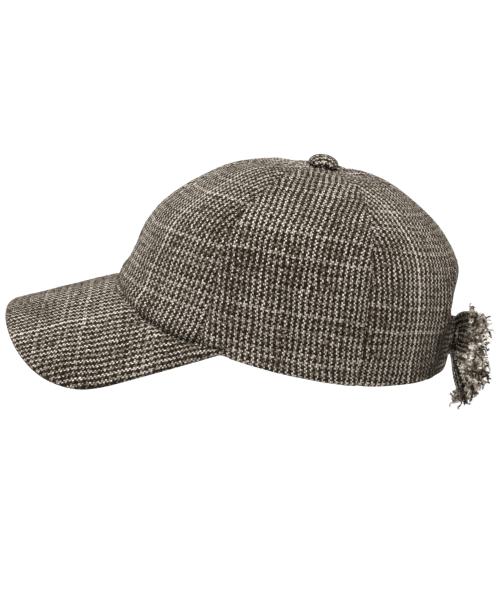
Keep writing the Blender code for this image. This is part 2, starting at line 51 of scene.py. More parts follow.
# Cloth and clearances
CLOTH = 0.0018
PIECE_GAP = 0.0003
SEAM_DIP = 0.0009
SEAM_DIP_REACH = 0.0045
SEAM_ROUNDING = 0.0007
SEAM_TOUCH = 0.00008
FOLD_ROUNDING = 0.0009
ROUNDING_STEPS = 5
METRES_TO_MM = 1000.0
MIRROR = (-1.0, 1.0, 1.0)

# Crown
CROWN_FRONT = 0.100
CROWN_BACK = 0.101
CROWN_SIDE = 0.079
CROWN_HEIGHT = 0.1072
CROWN_SQUARENESS = 2.2
BUTTON_SETBACK = 0.007
TOP_HOLE_RADIUS = 0.0028

# Each ring of the crown: reaches are shares of the crown's front, side and back, heights are shares
# of its height, and the seams are angles in degrees from the front.
Ring = namedtuple("Ring", "level front_reach front_height side_reach side_height "
                          "back_reach back_height front_seam back_seam")
CROWN_RINGS = (
    Ring(0.00, 1.080, 0.000, 0.985, 0.000, 0.985, 0.000, 66.0, 114.0),
    Ring(0.17, 0.980, 0.270, 1.000, 0.230, 0.970, 0.230, 64.0, 113.0),
    Ring(0.33, 0.922, 0.460, 0.990, 0.460, 0.945, 0.440, 62.0, 112.0),
    Ring(0.50, 0.840, 0.655, 0.905, 0.675, 0.872, 0.650, 60.0, 112.0),
    Ring(0.66, 0.655, 0.825, 0.715, 0.845, 0.695, 0.812, 60.0, 114.0),
    Ring(0.82, 0.395, 0.960, 0.400, 0.965, 0.400, 0.965, 60.0, 118.0),
    Ring(1.00, 0.000, 1.000, 0.000, 1.000, 0.000, 1.000, 60.0, 120.0),
)

# Hem round the opening: how far it wanders from the flat, as a share of HEM_WAVE
HEM_WAVE = 0.010
HemPoint = namedtuple("HemPoint", "angle height")
HEM_POINTS = (
    HemPoint(60.0, 0.45),
    HemPoint(75.0, 0.27),
    HemPoint(95.0, -0.09),
    HemPoint(115.0, -0.14),
    HemPoint(130.0, 0.02),
    HemPoint(140.0, 0.18),
    HemPoint(147.0, 0.30),
    HemPoint(153.0, 0.42),
    HemPoint(180.0, 1.00),
)

# Shallow dents of the crown: place by angle and level, depth as a share of DENT_DEPTH
DENT_DEPTH = 0.0020
DENT_REACH = 0.011
Dent = namedtuple("Dent", "angle level depth")
CROWN_DENTS = (
    Dent(14.0, 0.87, 1.05),
    Dent(17.0, 0.63, 0.50),
    Dent(0.0, 0.37, -0.80),
    Dent(0.0, 0.25, 0.50),
    Dent(84.0, 0.80, 0.40),
    Dent(125.0, 0.72, -0.35),
    Dent(150.0, 0.62, 0.60),
    Dent(76.0, 0.10, 0.50),
)

# Where the crown meets the peak's top: the crown sinks into the seam and swells above it
PEAK_SEAM_DIP = 0.0015
PEAK_SEAM_REACH = 0.0013
PEAK_SEAM_SWELL = 0.0009
PEAK_SEAM_SWELL_UP = 0.0050
# Painted shade along the seam where the crown meets the peak
PEAK_SEAM_PAINTED_SHADE = 0.25

# Unevenness of the crown's cloth, and the gathering along its seams
RIPPLE_WAVES = 7
WANDER_DEPTH = 0.00035
WANDER_LENGTH = 0.030
PUCKER_DEPTH = 0.00030
PUCKER_LENGTH = 0.0065
PUCKER_REACH = 0.0060
PANEL_COLUMNS = 78
PANEL_ROWS = 110
PANEL_FIRST_ROWS = 0.35
ARCH_LOW_ROWS = 24
ARCH_ROWS = 46
ARCH_ROW_RISE = 0.12
# Painted shade along the crown's seams
SEAM_PAINTED_SHADE = 0.22
SEAM_PAINTED_SHADE_REACH = 0.0010

# Arched gap at the back, with a turned hem
ARCH_TOP = 0.0627
ARCH_SHOULDER = 0.025
ARCH_HALF_WIDTH = 0.036
ARCH_FOOT_HALF_WIDTH = 0.041
ARCH_SQUARENESS = 2.6
HEM_WIDTH = 0.0062
HEM_GROOVE_DEPTH = 0.00055
HEM_GROOVE_WIDTH = 0.0008
HEM_BULGE = 0.00035
# Painted shade in the hem's groove, and in the shadowed hollow at the arch's foot by the tie
HEM_PAINTED_SHADE = 0.35
ARCH_FOOT_PAINTED_SHADE = 0.95
ARCH_FOOT_PAINTED_SHADE_REACH = 0.0180
ARCH_FOOT_PAINTED_SHADE_UP = 0.006
ARCH_FOOT_PAINTED_SHADE_BLEND = 0.012

# Button
BUTTON_RADIUS = 0.0088
BUTTON_HEIGHT = 0.0072
BUTTON_SKIRT_HEIGHT = 0.0018
BUTTON_FOOT_RADIUS = 0.0077
BUTTON_SIDES = 120
BUTTON_RINGS = 30
BUTTON_SKIRT_RINGS = 8
BUTTON_GATHERS = 17
BUTTON_GATHER_DEPTH = 0.00022

# Peak
PEAK_REACH = 0.1595
PEAK_HALF_WIDTH = 0.0765
PEAK_ARCH_DROP = 0.0465
PEAK_TIP_DROP = -0.0026
PEAK_ROOT_DROP = 0.0012
PEAK_TIP_PLACE = 0.124
PEAK_ROOT_PLACE = 0.092
PEAK_ROOT_HEIGHT = 0.0205
PEAK_SLOPE = math.radians(24.1)
PEAK_WIDEST = 0.102
PEAK_ROOT_END = 0.034
PEAK_CORNER_OVERHANG = 0.0012
PEAK_END_BLEND = math.radians(5.0)
PEAK_FRONT_SQUARENESS = 2.35
PEAK_THICKNESS = 0.0040
PEAK_BEND_RADIUS = (PEAK_HALF_WIDTH ** 2 + PEAK_ARCH_DROP ** 2) / (2.0 * PEAK_ARCH_DROP)
PEAK_SIDE_SHARE = 0.16
PEAK_SPOKES = 190
PEAK_STEPS = 64
PEAK_EDGE_ROLL = 0.0010
PEAK_UNDER_ROLL = 0.0004
PEAK_EDGE_ROLL_REACH = 0.0030
PEAK_ROOT_ROLL = 0.0010
PEAK_ROOT_ROLL_REACH = 0.0020
PEAK_WANDER_DEPTH = 0.00020

# Knot
KNOT_WIDTH = 0.018
KNOT_DEPTH = 0.015
KNOT_HEIGHT = 0.024
KNOT_SET_IN = 0.0015
KNOT_UP = 0.0215
KNOT_FOLDS = 3
KNOT_TWIST = 4.0
KNOT_FOLD_DEPTH = 0.0012
KNOT_SIDES = 96
KNOT_RINGS = 60
# Painted shade in the knot's folds; the finer creases that follow are shaped
KNOT_PAINTED_SHADE = 0.60
KNOT_CREASES = 8.0
KNOT_CREASE_TWIST = -6.0
KNOT_CREASE_DEPTH = 0.00042

# Straps
STRAP_TOP = 0.0385
STRAP_KNOT_HEIGHT = 0.017
STRAP_KNOT_SETBACK = 0.003
STRAP_BOW = 0.0022
STRAP_FOLD_DEPTH = 0.0013
STRAP_FOLDS = 3
STRAP_GATHERS = 8
STRAP_GATHER_DEPTH = 0.0008
STRAP_TUCK = 0.005
STRAP_TUCK_GAP = 0.0004
STRAP_TUCK_COLUMNS = 8
STRAP_COLUMNS = 44
STRAP_ROWS = 56
# Painted shade on the straps near the hem and the knot
STRAP_PAINTED_SHADE = 0.90

# Tails: each row is a section, as shares of the tail's length and width
TAIL_LENGTH = 0.028
TAIL_WIDTH = 0.031
TAIL_FOLD_DEPTH = 0.0012
TAIL_GATHERS = 6
TAIL_GATHER_DEPTH = 0.0005
# Painted shade on the tails near the knot
TAIL_PAINTED_SHADE = 0.30
TAIL_COLUMNS = 56
TAIL_ROWS = 46
Section = namedtuple("Section", "along out back up width cup")
LEFT_TAIL = (
    Section(0.00, 0.10, 0.10, 0.00, 0.52, 0.05),
    Section(0.35, 0.36, 0.25, 0.09, 0.86, 0.12),
    Section(0.70, 0.62, 0.35, 0.15, 0.98, 0.14),
    Section(1.00, 0.84, 0.43, 0.18, 1.00, 0.12),
)
RIGHT_TAIL = (
    Section(0.00, 0.04, 0.16, -0.14, 0.34, 0.04),
    Section(0.35, 0.15, 0.36, -0.36, 0.62, 0.10),
    Section(0.70, 0.25, 0.55, -0.64, 0.86, 0.13),
    Section(1.00, 0.33, 0.70, -0.88, 0.98, 0.12),
)

# Each tail with the direction it is widest in and its fraying: how its yarns fan out and tilt, and
# how far back they start, as a share of its length
Tail = namedtuple("Tail", "sections widest fan tilt cover seed")
TAILS = {
    "left": Tail(LEFT_TAIL, (0.0, 0.0, 1.0), 0.22, -0.20, 0.06, 303),
    "right": Tail(RIGHT_TAIL, (0.80, 0.38, 0.46), 0.85, 0.14, 0.10, 302),
}

# Frayed ends: yarns that stand out of each tail, and the fine fibres on them
FRINGE_LENGTH = 0.0108
FRINGE_YARNS = 120
FRINGE_ROOT = 0.98
YARN_RADIUS = 0.00070
YARN_SIDES = 7
YARN_STEPS = 16
YARN_SWING = 0.32
YARN_LEAN = 0.45
YARN_WAVE = 0.0012
YARN_COILS = 2.2
YARN_CURL = 0.0011
LIGHT_YARN = 0.78
DARK_YARN = 0.40
YARN_VARIETY = 0.20
FIBRE_VARIETY = 0.15
YARN_FIBRES = 80
FIBRE_LENGTH = 0.0018
FIBRE_WIDTH = 0.00022
YARN_MOTTLE = 1.4
YARN_MOTTLE_SCALE = 300.0

# Fine fibres that stand off the cloth
FUZZ_LENGTH = 0.0011
FUZZ_WIDTH = 0.00006
FUZZ_PER_PIECE = 2600

# Weave: pitch of the threads in millimetres, and threads in one repeat of light and dark
WARP_PITCH = 0.84
WEFT_PITCH = 1.12
WEFT_NUMBERS_FROM = 5000.0
DRIFT = 2.4
DRIFT_SCALE = 0.07
SHAKE = 0.55
SHAKE_SCALE = 0.8
REPEAT = 4
LIGHT_THREADS = 2
CREAM = (0.955, 0.88, 0.785)
STONE = (0.42, 0.352, 0.290)
TAUPE = (0.150, 0.120, 0.088)
UMBER = (0.036, 0.025, 0.013)
NEAR_BLACK = (0.006, 0.0035, 0.001)
YARN_TONES = (NEAR_BLACK, UMBER, TAUPE, STONE, CREAM)
LOOSE_TONES = (NEAR_BLACK, UMBER, (0.165, 0.135, 0.108), (0.44, 0.385, 0.32), (0.92, 0.85, 0.755))

# Tone of each set of threads, from 0 (near black) to 1 (cream), and how much it varies
LIGHT_WARP = 0.85
DARK_WARP = 0.06
LIGHT_WEFT = 0.47
DARK_WEFT = 0.12
THREAD_VARIETY = 0.30
HEATHER = 2.2
HEATHER_PER_THREAD = 3.7
HEATHER_ALONG = 0.55
FLECK = 1.6
FLECK_SCALE = 4.0
CLOUDING = 0.50
CLOUD_SCALE = 0.035
SLUB_SHARE = 0.18
WARP_SLUB_PALER = 0.50
WARP_SLUB_SHOWN = 0.40
WEFT_SLUB_PALER = 0.22
EVENNESS_OF_DARK = 0.35
THREAD_ROUNDNESS = 2.5
# Painted shade between threads and at their crossings
SHADE_BETWEEN_THREADS = 0.90
SHADE_AT_CROSSINGS = 0.45
LEAST_SHADE = 0.05
# How far painted shade darkens the cloth's colour
PAINTED_SHADE_STRENGTH = 0.90
BUMP_STRENGTH = 0.8
BUMP_DISTANCE = 0.00035
FLECK_BUMP = 0.8
SPECULAR = 0.06
SHEEN_ROUGHNESS = 0.6
SHEEN_TINT = (0.80, 0.62, 0.42, 1.0)

# Camera and studio
CAMERA_AZIMUTH = math.radians(90.0)
CAMERA_ELEVATION = math.radians(12.0)
CAMERA_DISTANCE = 1.35
CAMERA_SENSOR = 36.0
VIEW_HEIGHT = 0.3509
AIM_RIGHT = -0.0166
AIM_UP = 0.0247
FLOOR_DROP = 0.32
FLOOR_SIZE = 14.0
WORLD_STRENGTH = 0.12
KEY_STRENGTH = 5.4
KEY_SPREAD = math.radians(45.0)
KEY_DIRECTION = (0.38, -0.12, 1.0)
FLOOR_GREY = (0.68, 0.68, 0.68)


def smooth_value(places, values, place):
    """Values on the smooth curve through a table's rows, straight beyond its ends."""
    slopes = np.gradient(values, places)
    place = np.asarray(place, float)
    index = np.clip(np.searchsorted(places, place) - 1, 0, len(places) - 2)
    span = places[index + 1] - places[index]
    share = (place - places[index]) / span
    start = (1.0 + 2.0 * share) * (1.0 - share) ** 2 * values[index]
    start += share * (1.0 - share) ** 2 * span * slopes[index]
    end = share * share * (3.0 - 2.0 * share) * values[index + 1]
    end += share * share * (share - 1.0) * span * slopes[index + 1]
    below = values[0] + slopes[0] * (place - places[0])
    above = values[-1] + slopes[-1] * (place - places[-1])
    return np.where(share < 0.0, below, np.where(share > 1.0, above, start + end))


def column(table, name):
    """One named column of a table as an array."""
    return np.array([getattr(row, name) for row in table])


RING_LEVELS = column(CROWN_RINGS, "level")
RING_COLUMNS = {name: column(CROWN_RINGS, name) for name in Ring._fields}


SEAMS = ("centre_front", "front_seam", "back_seam", "centre_back")


def ring_value(name, level):
    return smooth_value(RING_LEVELS, RING_COLUMNS[name], level)


def signed_power(value, power):
    return np.sign(value) * np.abs(value) ** power


def length_of(vectors):
    return np.linalg.norm(vectors, axis=-1)


def unit(vectors):
    return vectors / np.maximum(np.linalg.norm(vectors, axis=-1, keepdims=True), 1e-12)


def vectors_from(x, y, z):
    return np.stack(np.broadcast_arrays(x, y, z), axis=-1).astype(float)


def smooth_step(share):
    share = np.clip(share, 0.0, 1.0)
    return share * share * (3.0 - 2.0 * share)


def ripples(points, wavelength, seed):
    """Gentle unevenness from about -1 to 1, the same at every run."""
    chance = np.random.default_rng(seed)
    total = 0.0
    for _ in range(RIPPLE_WAVES):
        direction = unit(chance.normal(size=3))
        waves = chance.uniform(0.7, 1.5) / wavelength
        total = total + np.sin(2.0 * np.pi * (waves * (points @ direction) + chance.uniform()))
    return total / 3.0


def crown_form(angle, level):
    """Points of the plain crown, without seams and dents, at angles from the front."""
    forward = np.cos(angle)
    sideways = np.sin(angle)
    power = 2.0 / CROWN_SQUARENESS
    front = forward > 0.0
    reach = np.where(front, CROWN_FRONT * ring_value("front_reach", level),
                     CROWN_BACK * ring_value("back_reach", level))
    end_height = np.where(front, ring_value("front_height", level), ring_value("back_height", level))
    side_height = ring_value("side_height", level)
    x = CROWN_SIDE * ring_value("side_reach", level) * signed_power(sideways, power)
    y = BUTTON_SETBACK * level - reach * signed_power(forward, power)
    z = CROWN_HEIGHT * (side_height + (end_height - side_height) * forward * forward)
    return vectors_from(x, y, z)


def crown_directions(angle, level):
    """Vectors along the ring, up the crown and out of it; the first is per radian."""
    step = 0.01
    along = (crown_form(angle + step, level) - crown_form(angle - step, level)) / (2.0 * step)
    up = crown_form(angle, level + step) - crown_form(angle, level - step)
    return along, up, unit(np.cross(along, up))


def seam_angle(name, level):
    """Angle of a seam from the front; the crown's centre seam runs over the front and the back."""
    if name == "centre_front":
        return np.zeros_like(np.asarray(level, float))
    if name == "centre_back":
        return np.full_like(np.asarray(level, float), np.pi)
    return np.radians(ring_value(name, level))


def seam_distance(angle, level):
    """Distance to the nearest seam along the ring."""
    radius = length_of(crown_directions(angle, level)[0])
    return np.min([np.abs(angle - seam_angle(seam, level)) * radius for seam in SEAMS], axis=0)


def crown_sink(angle, level):
    """How far the cloth sinks at seams and dents."""
    sink = SEAM_DIP * np.exp(-(seam_distance(angle, level) / SEAM_DIP_REACH) ** 2)
    here = crown_form(angle, level)
    for dent in CROWN_DENTS:
        distance = length_of(here - crown_form(math.radians(dent.angle), dent.level))
        sink = sink + DENT_DEPTH * dent.depth * np.exp(-(distance / DENT_REACH) ** 2)
    return sink


def crown_point(angle, level):
    """Points of the crown's outer face."""
    outward = crown_directions(angle, level)[2]
    return crown_form(angle, level) - outward * crown_sink(angle, level)[..., None]


def peak_height(x, y):
    """Height of the middle of the peak's thickness over the opening's plane."""
    sag = PEAK_BEND_RADIUS - np.sqrt(np.maximum(PEAK_BEND_RADIUS ** 2 - x ** 2, 0.0))
    ridge = PEAK_ROOT_HEIGHT + math.tan(PEAK_SLOPE) * (y + CROWN_FRONT)
    share = smooth_step((y + PEAK_TIP_PLACE) / (PEAK_TIP_PLACE - PEAK_ROOT_PLACE))
    side_drop = PEAK_TIP_DROP + (PEAK_ROOT_DROP - PEAK_TIP_DROP) * share
    return ridge - sag - side_drop * (x / PEAK_HALF_WIDTH) ** 2


def hem_height(angle):
    places = np.radians(column(HEM_POINTS, "angle"))
    return HEM_WAVE * smooth_value(places, column(HEM_POINTS, "height"), angle)


def peak_end_angle():
    """Angle from the front at which the peak's corners meet the crown."""
    return math.acos((PEAK_ROOT_END / CROWN_FRONT) ** (0.5 * CROWN_SQUARENESS))


def lower_edge_height(point, angle):
    """Height of the crown's lower edge: the peak's underside in front, the hem elsewhere."""
    share = smooth_step((angle - peak_end_angle()) / PEAK_END_BLEND)
    under_peak = peak_height(point[..., 0], point[..., 1]) - 0.5 * PEAK_THICKNESS
    return under_peak + (hem_height(angle) - under_peak) * share


def halved(low, high, is_below, shape):
    """Values between low and high where is_below turns false, found by halving."""
    low = np.full(shape, float(low))
    high = np.full(shape, float(high))
    for _ in range(30):
        middle = 0.5 * (low + high)
        below = is_below(middle)
        low = np.where(below, middle, low)
        high = np.where(below, high, middle)
    return high


def lower_level(angle_at, shape):
    """Levels where columns of the crown meet the lower edge, less the rounding of its fold."""
    def is_below(level):
        angle = angle_at(level)
        point = crown_point(angle, level)
        return point[..., 2] < lower_edge_height(point, angle) + FOLD_ROUNDING
    return halved(-0.15, 0.75, is_below, shape)


def top_level():
    """Level where the crown's top hole begins."""
    return float(halved(0.8, 1.0, lambda level: CROWN_SIDE * ring_value("side_reach", level)
                        > TOP_HOLE_RADIUS, ()))


def leaned(points):
    """Points of the cap's own frame as they sit with the cap leaned back."""
    turn = math.cos(BACKWARD_LEAN)
    lift = math.sin(BACKWARD_LEAN)
    x, y, z = points[..., 0], points[..., 1], points[..., 2]
    return vectors_from(x, y * turn + z * lift, z * turn - y * lift)


def with_painted_shade(places, painted_shade):
    """Cloth coordinates with the painted shade, from 0 to 1, as their third number."""
    painted_shade = np.broadcast_to(painted_shade, places.shape[:-1])
    return np.concatenate([places, painted_shade[..., None]], axis=-1)


MATERIALS = {}


def new_piece(name, points, faces, places, slot, node=None, material=None):
    """One shown piece from points of the cap's own frame, riding on the cap."""
    mesh = bpy.data.meshes.new(name)
    mesh.from_pydata(leaned(points).tolist(), [], faces)
    corners = np.empty(len(mesh.loops), np.int32)
    mesh.loops.foreach_get("vertex_index", corners)
    places = np.asarray(places, np.float32)[corners]
    mesh.uv_layers.new(name="Cloth").data.foreach_set("uv", places[:, :2].ravel())
    # The second UV layer carries painted shade: how far the colour is darkened at creases and hollows
    mesh.uv_layers.new(name="PaintedShade").data.foreach_set("uv", places[:, [2, 2]].ravel())
    mesh.materials.append(MATERIALS[material or slot])
    mesh.shade_smooth()
    piece = bpy.data.objects.new(name, mesh)
    bpy.context.scene.collection.objects.link(piece)
    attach(piece, "root")
    if node:
        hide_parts(node)
    return piece


def grid_directions(points):
    """Unit vectors along the columns and rows of a grid of points, and out of its face."""
    across = np.gradient(points, axis=1)
    upward = np.gradient(points, axis=0)
    return unit(across), unit(upward), unit(np.cross(across, upward))


def border_loop(rows, columns):
    """Row numbers and column numbers round a grid's border, starting along its first row."""
    last_row, last_column = rows - 1, columns - 1
    loop = [(0, place) for place in range(last_column)]
    loop += [(row, last_column) for row in range(last_row)]
    loop += [(last_row, place) for place in range(last_column, 0, -1)]
    loop += [(row, 0) for row in range(last_row, 0, -1)]
    return tuple(np.array(loop).T)


def cloth_body(points, places, thickness, rounding):
    """Closed cloth of even thickness under a grid's face, with rounded folds all round it."""
    rows, columns = points.shape[:2]
    outward = grid_directions(points)[2]
    border = border_loop(rows, columns)
    along_border = np.roll(points[border], -1, axis=0) - np.roll(points[border], 1, axis=0)
    way_out = unit(np.cross(along_border, outward[border]))
    cloth_out = np.zeros_like(way_out)
    for axis in (1, 0):
        last = points.shape[axis] - 1
        way = (border[axis] == last).astype(float) - (border[axis] == 0)
        size = np.maximum(length_of(np.gradient(points, axis=axis)), 1e-9)[..., None]
        cloth_out += way[:, None] * (np.gradient(places, axis=axis) / size)[border]
    cloth_out[:, 2] = 0.0
    all_points = [points.reshape(-1, 3)]
    all_places = [places.reshape(-1, 3)]
    for step in range(1, ROUNDING_STEPS):
        turn = np.pi * step / ROUNDING_STEPS
        reach = rounding * np.sin(turn)
        sink = 0.5 * thickness * (1.0 - np.cos(turn))
        all_points.append(points[border] + way_out * reach - outward[border] * sink)
        all_places.append(places[border] + cloth_out * (reach + sink))
    all_points.append((points - outward * thickness).reshape(-1, 3))
    all_places.append(places.reshape(-1, 3))
    around = len(way_out)
    inner = rows * columns + around * (ROUNDING_STEPS - 1)
    first = border[0] * columns + border[1]
    folds = rows * columns + np.arange(around * (ROUNDING_STEPS - 1)).reshape(-1, around)
    loops = [first, *folds, inner + first]
    corner = (np.arange(rows - 1)[:, None] * columns + np.arange(columns - 1)).ravel()
    face = np.stack([corner, corner + 1, corner + columns + 1, corner + columns], axis=1)
    faces = [face, inner + face[:, ::-1]]
    for near, far in zip(loops, loops[1:]):
        faces.append(np.stack([far, np.roll(far, -1), np.roll(near, -1), near], axis=1))
    return np.concatenate(all_points), np.concatenate(faces), np.concatenate(all_places)


def cloth_piece(node, points, places, slot="tweed", thickness=CLOTH, rounding=FOLD_ROUNDING,
                mirrored=False):
    """One piece of cloth under a grid; a mirrored one is flipped to the wearer's right."""
    body, faces, places = cloth_body(points, places, thickness, rounding)
    if mirrored:
        body = body * MIRROR
        faces = faces[:, ::-1]
        places = places + (431.0, 277.0, 0.0)
    return new_piece("tweed_" + node, body, faces.tolist(), places, slot, node)


def ring_faces(rings, sides):
    """Faces of a closed body of rings of points, followed by its first and its last point."""
    faces = []
    first = rings * sides
    for side in range(sides):
        following = (side + 1) % sides
        faces.append((side, first, following))
        faces.append((first - sides + side, first - sides + following, first + 1))
        for near in range(0, first - sides, sides):
            far = near + sides
            faces.append((near + side, near + following, far + following, far + side))
    return faces


def panel_cloth_places(angle, level, front_seam, back_seam):
    """Cloth coordinates of a panel: along the ring and up from the panel's middle line."""
    middle = 0.5 * (seam_angle(front_seam, level) + seam_angle(back_seam, level))
    steps = np.linspace(0.0, 1.0, 13)
    line = crown_form(middle[..., None] + (angle - middle)[..., None] * steps, level[..., None])
    along = np.sign(angle - middle) * length_of(np.diff(line, axis=-2)).sum(axis=-1)
    levels = np.linspace(-0.2, 1.0, 241)
    middles = 0.5 * (seam_angle(front_seam, levels) + seam_angle(back_seam, levels))
    climb = length_of(np.diff(crown_form(middles, levels), axis=0))
    height = np.concatenate([[0.0], np.cumsum(climb)])
    return METRES_TO_MM * np.stack([along, np.interp(level, levels, height)], axis=-1)


def edge_angle(seam, level, way):
    """Angle of a panel's edge, off its seam by the rounding of its fold, so that the folds touch."""
    angle = seam_angle(seam, level)
    radius = length_of(crown_directions(angle, level)[0])
    return angle + way * (SEAM_ROUNDING - SEAM_TOUCH) / radius


def plain_panel_grid(front_seam, back_seam):
    """Angles and levels over a panel between two seams, from the lower edge to the top hole."""
    shares = np.linspace(0.0, 1.0, PANEL_COLUMNS)

    def angle_at(level):
        first = edge_angle(front_seam, level, 1.0)
        last = edge_angle(back_seam, level, -1.0)
        return first + (last - first) * shares

    bottom = lower_level(angle_at, shares.shape)
    climb = np.linspace(0.0, 1.0, PANEL_ROWS)[:, None]
    climb = climb * (PANEL_FIRST_ROWS + (1.0 - PANEL_FIRST_ROWS) * climb)
    level = bottom + (top_level() - bottom) * climb
    return angle_at(level), level


def arch_half_width(height):
    """Half the width of the gap at the back at heights over the opening's plane."""
    foot = (ARCH_SHOULDER - height) / ARCH_SHOULDER
    below = ARCH_HALF_WIDTH + (ARCH_FOOT_HALF_WIDTH - ARCH_HALF_WIDTH) * foot
    rise = np.clip((height - ARCH_SHOULDER) / (ARCH_TOP - ARCH_SHOULDER), 0.0, 1.0)
    arch = (1.0 - rise ** ARCH_SQUARENESS) ** (1.0 / ARCH_SQUARENESS)
    return np.where(foot > 0.0, below, ARCH_HALF_WIDTH * arch)


def back_place(x, z):
    """Angles and levels of places on the crown's back, given by width and height."""
    def angle_at(level):
        reach = CROWN_SIDE * ring_value("side_reach", level)
        return np.pi - np.arcsin(np.minimum((x / reach) ** (0.5 * CROWN_SQUARENESS), 1.0))
    level = halved(-0.1, 0.9, lambda level: crown_form(angle_at(level), level)[..., 2] < z,
                   np.shape(x))
    return angle_at(level), level


def arch_foot_height():
    """Height of the hem at the foot of the arch."""
    share = ARCH_FOOT_HALF_WIDTH / crown_form(0.5 * np.pi, 0.0)[0]
    return hem_height(np.pi - math.asin(share ** (0.5 * CROWN_SQUARENESS)))


def back_panel_grid():
    """Angles and levels over a back panel, whose inner edge follows the arch and then the seam."""
    turns = np.linspace(0.0, 0.5 * np.pi, ARCH_ROWS)
    low = np.linspace(arch_foot_height() + FOLD_ROUNDING, ARCH_SHOULDER, ARCH_LOW_ROWS)
    shoulder_to_top = ARCH_TOP + FOLD_ROUNDING - ARCH_SHOULDER
    power = 2.0 / ARCH_SQUARENESS
    rises = shoulder_to_top * signed_power(np.sin(turns), power)
    halves = (ARCH_HALF_WIDTH + FOLD_ROUNDING) * signed_power(np.cos(turns), power)
    heights = np.concatenate([low[:-1], ARCH_SHOULDER + rises])
    widths = np.concatenate([arch_half_width(low[:-1]) + FOLD_ROUNDING, halves])
    widths = np.maximum(widths, SEAM_ROUNDING - SEAM_TOUCH)
    inner_angle, inner_level = back_place(widths, heights)
    high_rows = PANEL_ROWS - len(heights)
    high_level = np.linspace(inner_level[-1], top_level(), high_rows + 1)[1:]
    inner_level = np.concatenate([inner_level, high_level])
    inner_angle = np.concatenate([inner_angle, edge_angle("centre_back", high_level, -1.0)])
    seam_bottom = lower_level(lambda level: edge_angle("back_seam", level, 1.0), ())
    arch_end = inner_level[len(heights) - 1] + ARCH_ROW_RISE
    outer_level = np.concatenate([
        np.linspace(seam_bottom, inner_level[ARCH_LOW_ROWS - 1], ARCH_LOW_ROWS)[:-1],
        np.linspace(inner_level[ARCH_LOW_ROWS - 1], arch_end, ARCH_ROWS),
        np.linspace(arch_end, top_level(), high_rows + 1)[1:]])
    outer_angle = edge_angle("back_seam", outer_level, 1.0)
    shares = np.linspace(0.0, 1.0, PANEL_COLUMNS)
    angle = outer_angle[:, None] + (inner_angle - outer_angle)[:, None] * shares
    level = outer_level[:, None] + (inner_level - outer_level)[:, None] * shares
    hem = lower_level(lambda level: angle[0], shares.shape)
    fade = np.clip(1.0 - np.arange(PANEL_ROWS) / (ARCH_LOW_ROWS - 1.0), 0.0, 1.0)
    level = level + fade[:, None] * (hem - level[0])
    return angle, level, len(heights)


def peak_seam(points, angle):
    """How far the crown stands out where it meets the peak's top, and how much shade is painted along
    it.
    """
    above = points[..., 2] - peak_height(points[..., 0], points[..., 1]) - 0.5 * PEAK_THICKNESS
    near = np.exp(-(above / PEAK_SEAM_REACH) ** 2)
    swell_place = (above - PEAK_SEAM_SWELL_UP) / (0.6 * PEAK_SEAM_SWELL_UP)
    rise = PEAK_SEAM_SWELL * np.exp(-swell_place ** 2) - PEAK_SEAM_DIP * near
    over_peak = 1.0 - smooth_step((angle - peak_end_angle()) / PEAK_END_BLEND)
    return rise * over_peak, PEAK_SEAM_PAINTED_SHADE * np.where(above < 0.0, 1.0, near) * over_peak


def panel_points(angle, level, seed):
    """Outer face of a panel, with gathered seams and a little unevenness, and shade painted along its
    seams and the peak's seam.
    """
    points = crown_point(angle, level)
    near_seam = np.exp(-seam_distance(angle, level) / PUCKER_REACH)
    rise = WANDER_DEPTH * ripples(points, WANDER_LENGTH, seed)
    rise = rise + PUCKER_DEPTH * near_seam * ripples(points, PUCKER_LENGTH, seed + 1)
    peak_rise, painted_shade = peak_seam(points, angle)
    # Painted shade along the seams
    seam_shade = SEAM_PAINTED_SHADE * np.exp(-(seam_distance(angle, level) / SEAM_PAINTED_SHADE_REACH) ** 2)
    points = points + crown_directions(angle, level)[2] * (rise + peak_rise)[..., None]
    return points, np.maximum(painted_shade, seam_shade)


def arch_hem(points, painted_shade, arch_rows):
    """A back panel with the turned hem along the arch, with shade painted into the hem's groove and
    into the shadowed hollow at the arch's foot by the tie.
    """
    distance = np.min([length_of(points - place) for place in points[:arch_rows, -1]], axis=0)
    near = np.exp(-((distance - HEM_WIDTH) / HEM_GROOVE_WIDTH) ** 2)
    rise = HEM_BULGE * smooth_step(1.5 - distance / HEM_WIDTH) - HEM_GROOVE_DEPTH * near
    # Painted shade in the hollow at the arch's foot, near the knot
    above_knot = points[..., 2] - knot_centre()[2] - ARCH_FOOT_PAINTED_SHADE_UP
    at_foot = 1.0 - smooth_step(above_knot / ARCH_FOOT_PAINTED_SHADE_BLEND)
    foot_shade = at_foot * (1.0 - smooth_step(distance / ARCH_FOOT_PAINTED_SHADE_REACH))
    points = points + grid_directions(points)[2] * rise[..., None]
    return points, np.maximum(painted_shade, np.maximum(HEM_PAINTED_SHADE * near, ARCH_FOOT_PAINTED_SHADE * foot_shade))


PANELS = (("panel_front_", "centre_front", "front_seam"), ("panel_side_", "front_seam", "back_seam"),
          ("panel_back_", "back_seam", "centre_back"))


def crown():
    """Six panels of the crown."""
    for side, seed in (("left", 20), ("right", 60)):
        for name, front_seam, back_seam in PANELS:
            seed += 5
            if name == "panel_back_":
                angle, level, arch_rows = back_panel_grid()
                points, painted_shade = arch_hem(*panel_points(angle, level, seed), arch_rows)
            else:
                angle, level = plain_panel_grid(front_seam, back_seam)
                points, painted_shade = panel_points(angle, level, seed)
            places = panel_cloth_places(angle, level, front_seam, back_seam)
            places = with_painted_shade(places + (seed * 13.0, seed * 7.0), painted_shade)
            cloth_piece(name + side, points, places, rounding=SEAM_ROUNDING,
                        mirrored=side == "right")
            fuzz("fuzz_" + name + side, points, seed, "tweed", side == "right")


def button_seat_height():
    """Highest point of the panels under the button's foot."""
    level = top_level() - 0.02 * np.arange(12)[:, None]
    point = crown_point(np.pi * (np.arange(24) + 0.5) / 24, level + np.zeros(24))
    from_centre = np.hypot(point[..., 0], point[..., 1] - BUTTON_SETBACK)
    return point[..., 2][from_centre < BUTTON_FOOT_RADIUS].max()


